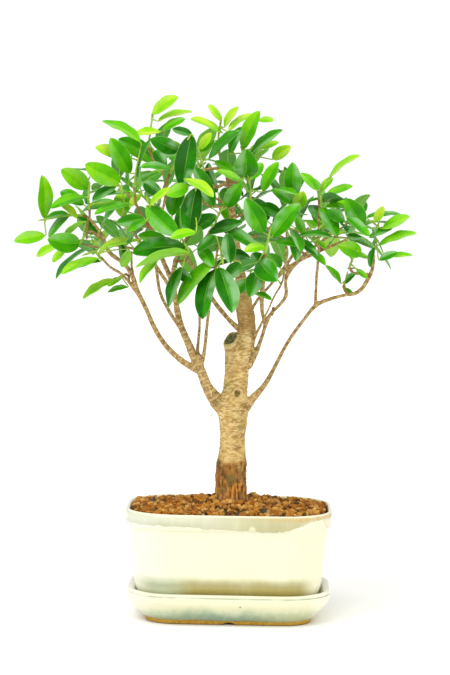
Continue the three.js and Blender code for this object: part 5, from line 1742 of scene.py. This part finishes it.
def make_trunk_and_limbs(bark):
    lines = [trunk_line(), *map(limb_route, LIMBS)]
    whole = [line for number, line in enumerate(lines) if number != STUB_LINE]
    limbs = drawn_tubes("limbs", whole, TRUNK_TUBE_SIDES)
    wood = join("trunk_and_limbs", [limbs, pruned_top(), knot_ring()])
    finish_with(wood, "REMESH", mode="VOXEL", voxel_size=SKIN_GRAIN * MM)
    finish_with(wood, "SMOOTH", factor=0.5, iterations=6)
    give_bark(wood, [(np.array(places), np.array(radii)) for places, radii in lines])
    shade(wood, SHARP_WOOD_EDGE)
    wood.data.materials.clear()
    wood.data.materials.append(bark)
    hand_in(wood, "bark", "wood")


# Thin growth, given one by one: x, z, depth and radius at each place
THIN_GROWTH = [
    [[-140, 402, -27, 1.2], [-141, 392, -28, 1.1], [-142, 380, -29, 0.9]],
    [[-130, 372, -30, 1.2], [-139, 373, -31, 1.0], [-148, 376, -32, 0.8]],
    [[-95, 340, -29, 1.3], [-97, 354, -29, 1.1], [-97, 368, -28, 0.9]],
    [[-15.5, 204, -8, 0.35], [-17.5, 203, -9, 0.3], [-19.5, 201.5, -9, 0.2]],
    [[119, 351, -20, 0.8], [127, 351, -20, 0.7], [133, 348, -20, 0.6]],
    [[43, 304, -13, 1.8], [44.5, 308, -14, 1.7], [45, 312, -14, 1.3]],
]


def gnarled(places, radii, draw):
    """The same line with the small turns and ring scars that a twig has"""
    spots, sizes = points_along(np.array(places), np.array(radii), TWIG_RING_STEP)
    for i in range(len(spots)):
        inside = 0 < i < len(spots) - 1
        spots[i] = spots[i] + inside * 0.35 * np.array([draw() - 0.5, draw() - 0.5, draw() - 0.5])
        sizes[i] *= 1.12 if i % 3 == 1 else 0.97 + 0.06 * draw()
    return spots, sizes


def make_twigs(twigs, bark):
    draw = make_random(TWIG_SEED)
    lines = [gnarled(places, radii, draw) for places, radii in twigs]
    for rows in THIN_GROWTH:
        places = [seen(x, z, y) for x, z, y, _ in rows]
        lines.append(gnarled(places, [row[3] for row in rows], draw))
    piece = drawn_tubes("twigs", lines, TWIG_SIDES, smooth=False)
    subdivide_smooth(piece, 1)
    rough = noise_at(points_of(piece.data) / MM, 0.5)
    marks = dict(thin=1, stout=0, leader=0, flaky=0, cut=0, scar=0, foot=0)
    marks.update(crevice=0.6 * fade(rough, 0.3, -0.3), pale=0.7 * fade(rough, 0.2, 0.6))
    for name, values in marks.items():
        mark(piece.data, name, values)
    shade(piece, SHARP_WOOD_EDGE)
    piece.data.materials.append(bark)
    hand_in(piece, "bark")


def fig_bark():
    """Tan and wrinkled above, dark and flaking at the foot, browner and warty on the limbs"""
    bark = Finish("tan_wrinkled_bark", Roughness=0.75, Specular_IOR_Level=0.25)
    crevice, pale, flaky = bark.number("crevice"), bark.number("pale"), bark.number("flaky")
    patches = bark.noise(55, detail=4)
    fine = bark.noise(420, detail=5, rough=0.65)

    dashes = bark.noise(1, detail=2, stretch=(230, 230, 760))
    zones = bark.fade(bark.noise(42, detail=2), 0.4, 0.58, 0.3, 1.0)
    leader = bark.layers(
        "#B88848",
        (bark.fade(bark.noise(120, detail=3), 0.38, 0.6), "#8C662E"),
        (bark.fade(fine, 0.55, 0.7, 0, 0.5), "#DDB878"),
    )
    upper = bark.layers(
        "#D2AE6C",
        (bark.fade(patches, 0.35, 0.65), "#B08E50"),
        (bark.fade(bark.noise(38, detail=3, warp=0.6), 0.5, 0.62, 0, 0.5), "#938A3E"),
        (bark.times(crevice, 0.4), "#7A5A2C"),
        (bark.times(pale, 0.5), "#EDD9A2"),
        (bark.times(bark.fade(dashes, 0.46, 0.36, 0.0, 0.55), zones), "#8A6834"),
        (bark.times(bark.fade(dashes, 0.53, 0.62, 0.0, 0.75), zones), "#F2E2B4"),
        (bark.times(bark.number("leader"), 0.7), leader),
    )
    limb = bark.layers(
        "#B49360",
        (bark.fade(patches, 0.35, 0.65), "#927146"),
        (bark.times(crevice, 0.6), "#5F451C"),
        (bark.times(pale, 0.75), "#EAD49C"),
        (bark.times(bark.number("thin"), bark.fade(fine, 0.3, 0.7, 0.1, 0.4)), "#7E6030"),
    )
    low = bark.fade(bark.axes()[2], 0.148, 0.128, 0.0, 1.0)
    streaks = bark.noise(1, detail=4, stretch=(200, 200, 55), warp=0.4)
    foot = bark.layers(
        "#86602E",
        (bark.fade(bark.noise(48, detail=4, warp=0.8), 0.42, 0.58), "#A07238"),
        (bark.fade(patches, 0.48, 0.62, 0, 0.65), "#6A6232"),
        (bark.times(bark.fade(streaks, 0.52, 0.64), bark.fade(low, 0, 1, 0.35, 0.85)), "#DC9440"),
        (bark.times(crevice, 0.8), "#452A10"),
    )
    ragged = bark.fade(bark.noise(110, detail=4), 0.3, 0.7, -0.35, 0.35)
    surface = bark.layers(
        limb,
        (bark.number("stout"), upper),
        (bark.fade(bark.plus(flaky, ragged), 0.15, 0.85), foot),
        (bark.number("cut"), bark.mix(bark.fade(fine, 0.4, 0.6), "#86805C", "#3F3E24")),
        (bark.times(bark.number("scar"), 0.85), "#5F5A2C"),
        (bark.times(bark.number("foot"), 0.7), "#7A6468"),
    )
    bark.set("Base Color", bark.mix(bark.fade(fine, 0.35, 0.7, 0.0, 0.35), surface, "#F0DDAA", "SOFT_LIGHT"))
    bark.bump(bark.plus(fine, bark.times(bark.noise(160, detail=3), 0.8)), 0.0006, 0.6)
    return bark.material


# Soil: baked granules heaped over the bed, each a copy of one of a few broken lumps

# The bed
SOIL_EDGE_INSET = 7.4
SOIL_EDGE_LEVEL = 108.6
SOIL_MOUND_RISE = 7.6

# The granules: their sizes, how they are strewn and heaped, and how far they sink along the back wall
GRANULE_SIZES = (4.2, 8.6)
GRANULE_SPACING = 4.9
GRANULE_KINDS = 7
TRUNK_CLEARANCE = 17.5
TRUNK_AT_SOIL_X = 3
GRANULE_FREE_RADIUS = 16
GRANULE_SCATTER = 0.7
GRANULE_WALL_GAP = 0.28
GRANULE_LOWEST = 0.4
GRANULE_HEAP = 2.8
GRANULE_SEED = 911
SHARP_GRANULE_EDGE = 50
BACK_SINK = 2.4
BACK_SINK_RUN = (30, 60)
GRANULE_KNOCK = 0.72
CLAY_TINTS = [
    (0, "#3B3B34"), (0.014, "#45443A"), (0.022, "#44300E"), (0.1, "#6C4210"), (0.2, "#965A18"),
    (0.45, "#B0701E"), (0.7, "#C48A36"), (0.88, "#D6A658"), (0.94, "#C08C48"), (1, "#A8743C"),
]


def soil_inset(x, y):
    """How far a place lies inside the rim's outline"""
    over_x = abs(x) - (RIM_HALF_WIDTH - RIM_CORNER_RADIUS)
    over_y = abs(y) - (RIM_HALF_DEPTH - RIM_CORNER_RADIUS)
    return RIM_CORNER_RADIUS - (math.hypot(max(over_x, 0), max(over_y, 0)) + min(max(over_x, over_y), 0))


def soil_level(x, y):
    """The bed's height: level with the rim at the edge, mounded at the trunk"""
    edge = max(soil_inset(x, y) - SOIL_EDGE_INSET, 0)
    trunk = max(math.hypot(x, y) - TRUNK_CLEARANCE, 0)
    inward = edge / (edge + trunk) if edge + trunk > 0 else 1
    return SOIL_EDGE_LEVEL + SOIL_MOUND_RISE * inward * inward * (3 - 2 * inward)


def broken_lump(kind):
    """One granule of baked clay, about 1 across, knocked out of round"""
    lump = start_from(bpy.ops.mesh.primitive_ico_sphere_add, subdivisions=2, radius=0.5)
    places = points_of(lump.data)
    shift = Vector((7.3 * kind, 2.1 * kind, 0))
    for i, place in enumerate(places):
        knock = noise.noise(Vector(place) * 2.1 + shift) + 0.5 * noise.noise(Vector(place) * 4.7 + shift)
        places[i] = place * (1 + GRANULE_KNOCK * knock)
    move_points(lump.data, places)
    return lump


def corners_of(mesh):
    corners = np.zeros(len(mesh.polygons) * 3, int)
    mesh.polygons.foreach_get("vertices", corners)
    return corners.reshape(-1, 3)


def turned(shape, turn, axis):
    return shape @ np.array(Matrix.Rotation(turn, 3, axis)).T


def heap_granules():
    draw = make_random(GRANULE_SEED)
    lumps = [broken_lump(kind) for kind in range(GRANULE_KINDS)]
    shapes = [(points_of(lump.data), corners_of(lump.data)) for lump in lumps]
    points, faces, tints, count = [], [], [], 0
    columns = int(2 * RIM_HALF_WIDTH / GRANULE_SPACING) + 2
    rows = int(2 * RIM_HALF_DEPTH / GRANULE_SPACING) + 2
    for column in range(columns):
        for row in range(rows):
            x = (column - columns / 2 + 0.5 * (row % 2) + GRANULE_SCATTER * (draw() - 0.5)) * GRANULE_SPACING
            y = (row - rows / 2 + GRANULE_SCATTER * (draw() - 0.5)) * GRANULE_SPACING
            size = GRANULE_SIZES[0] + (GRANULE_SIZES[1] - GRANULE_SIZES[0]) * draw() ** 2
            if soil_inset(x, y) < SOIL_EDGE_INSET + GRANULE_WALL_GAP * size:
                continue
            if math.hypot(x - TRUNK_AT_SOIL_X, y) < GRANULE_FREE_RADIUS:
                continue
            shape, corners = shapes[int(draw() * GRANULE_KINDS) % GRANULE_KINDS]
            shape = shape * np.array([1, 0.8 + 0.3 * draw(), 0.72 + 0.28 * draw()]) * size
            turn = 2 * math.pi * draw()
            shape = turned(turned(shape, 0.9 * (draw() - 0.5), "X"), turn, "Z")
            back = np.interp(y, BACK_SINK_RUN, (0, 1))
            rise = soil_level(x, y) + GRANULE_LOWEST + GRANULE_HEAP * draw() - BACK_SINK * back
            points.append(shape + np.array([x, y, rise]))
            faces.append(corners + count)
            tints.append(np.full(len(shape), draw()))
            count += len(shape)
    mesh = bpy.data.meshes.new("granules")
    places = np.vstack(points) * MM + np.array([POT_CENTRE.x, POT_CENTRE.y, 0])
    mesh.from_pydata(places.tolist(), [], np.vstack(faces).tolist())
    mark(mesh, "tint", np.concatenate(tints))
    granules = bpy.data.objects.new("soil_granules", mesh)
    bpy.context.collection.objects.link(granules)
    for lump in lumps:
        bpy.data.objects.remove(lump)
    return granules


def make_soil():
    granules = heap_granules()
    shade(granules, SHARP_GRANULE_EDGE)
    granules.data.materials.append(baked_clay())
    hand_in(granules, "soil_granules")
    redress("soil", clay_dust())


def baked_clay():
    """Orange-brown baked clay, each granule its own tint, a few of them dark grey"""
    clay = Finish("baked_clay_granules", Roughness=0.85, Specular_IOR_Level=0.25)
    crumb = clay.noise(520, detail=5, rough=0.7)
    surface = clay.layers(
        clay.ramp(clay.number("tint"), *CLAY_TINTS),
        (clay.fade(crumb, 0.35, 0.6, 0.45, 0.0), "#5C3810"),
        (clay.fade(crumb, 0.56, 0.72, 0.0, 0.45), "#E8BC7A"),
    )
    clay.set("Base Color", surface)
    clay.bump(crumb, 0.0006, 0.8)
    return clay.material


def clay_dust():
    dust = Finish("dark_clay_dust", Roughness=0.95, Specular_IOR_Level=0.1)
    crumb = dust.cells(380)
    dust.set("Base Color", dust.mix(dust.fade(crumb, 0.1, 0.6), "#5E3A12", "#2A1806"))
    dust.bump(crumb, 0.001, 0.8)
    return dust.material


# The object, piece by piece

make_pot()
make_saucer()
dress_drain_meshes()
room, twigs, crown = place_crown()
bark = fig_bark()
make_soil()
make_trunk_and_limbs(bark)
make_twigs(twigs, bark)
grow_crown(crown, fill_crown(room, twigs, crown))

boxes = {"cad": CAD_BOX, "visual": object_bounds()}
{name: [list(corner) for corner in box] for name, box in boxes.items()}
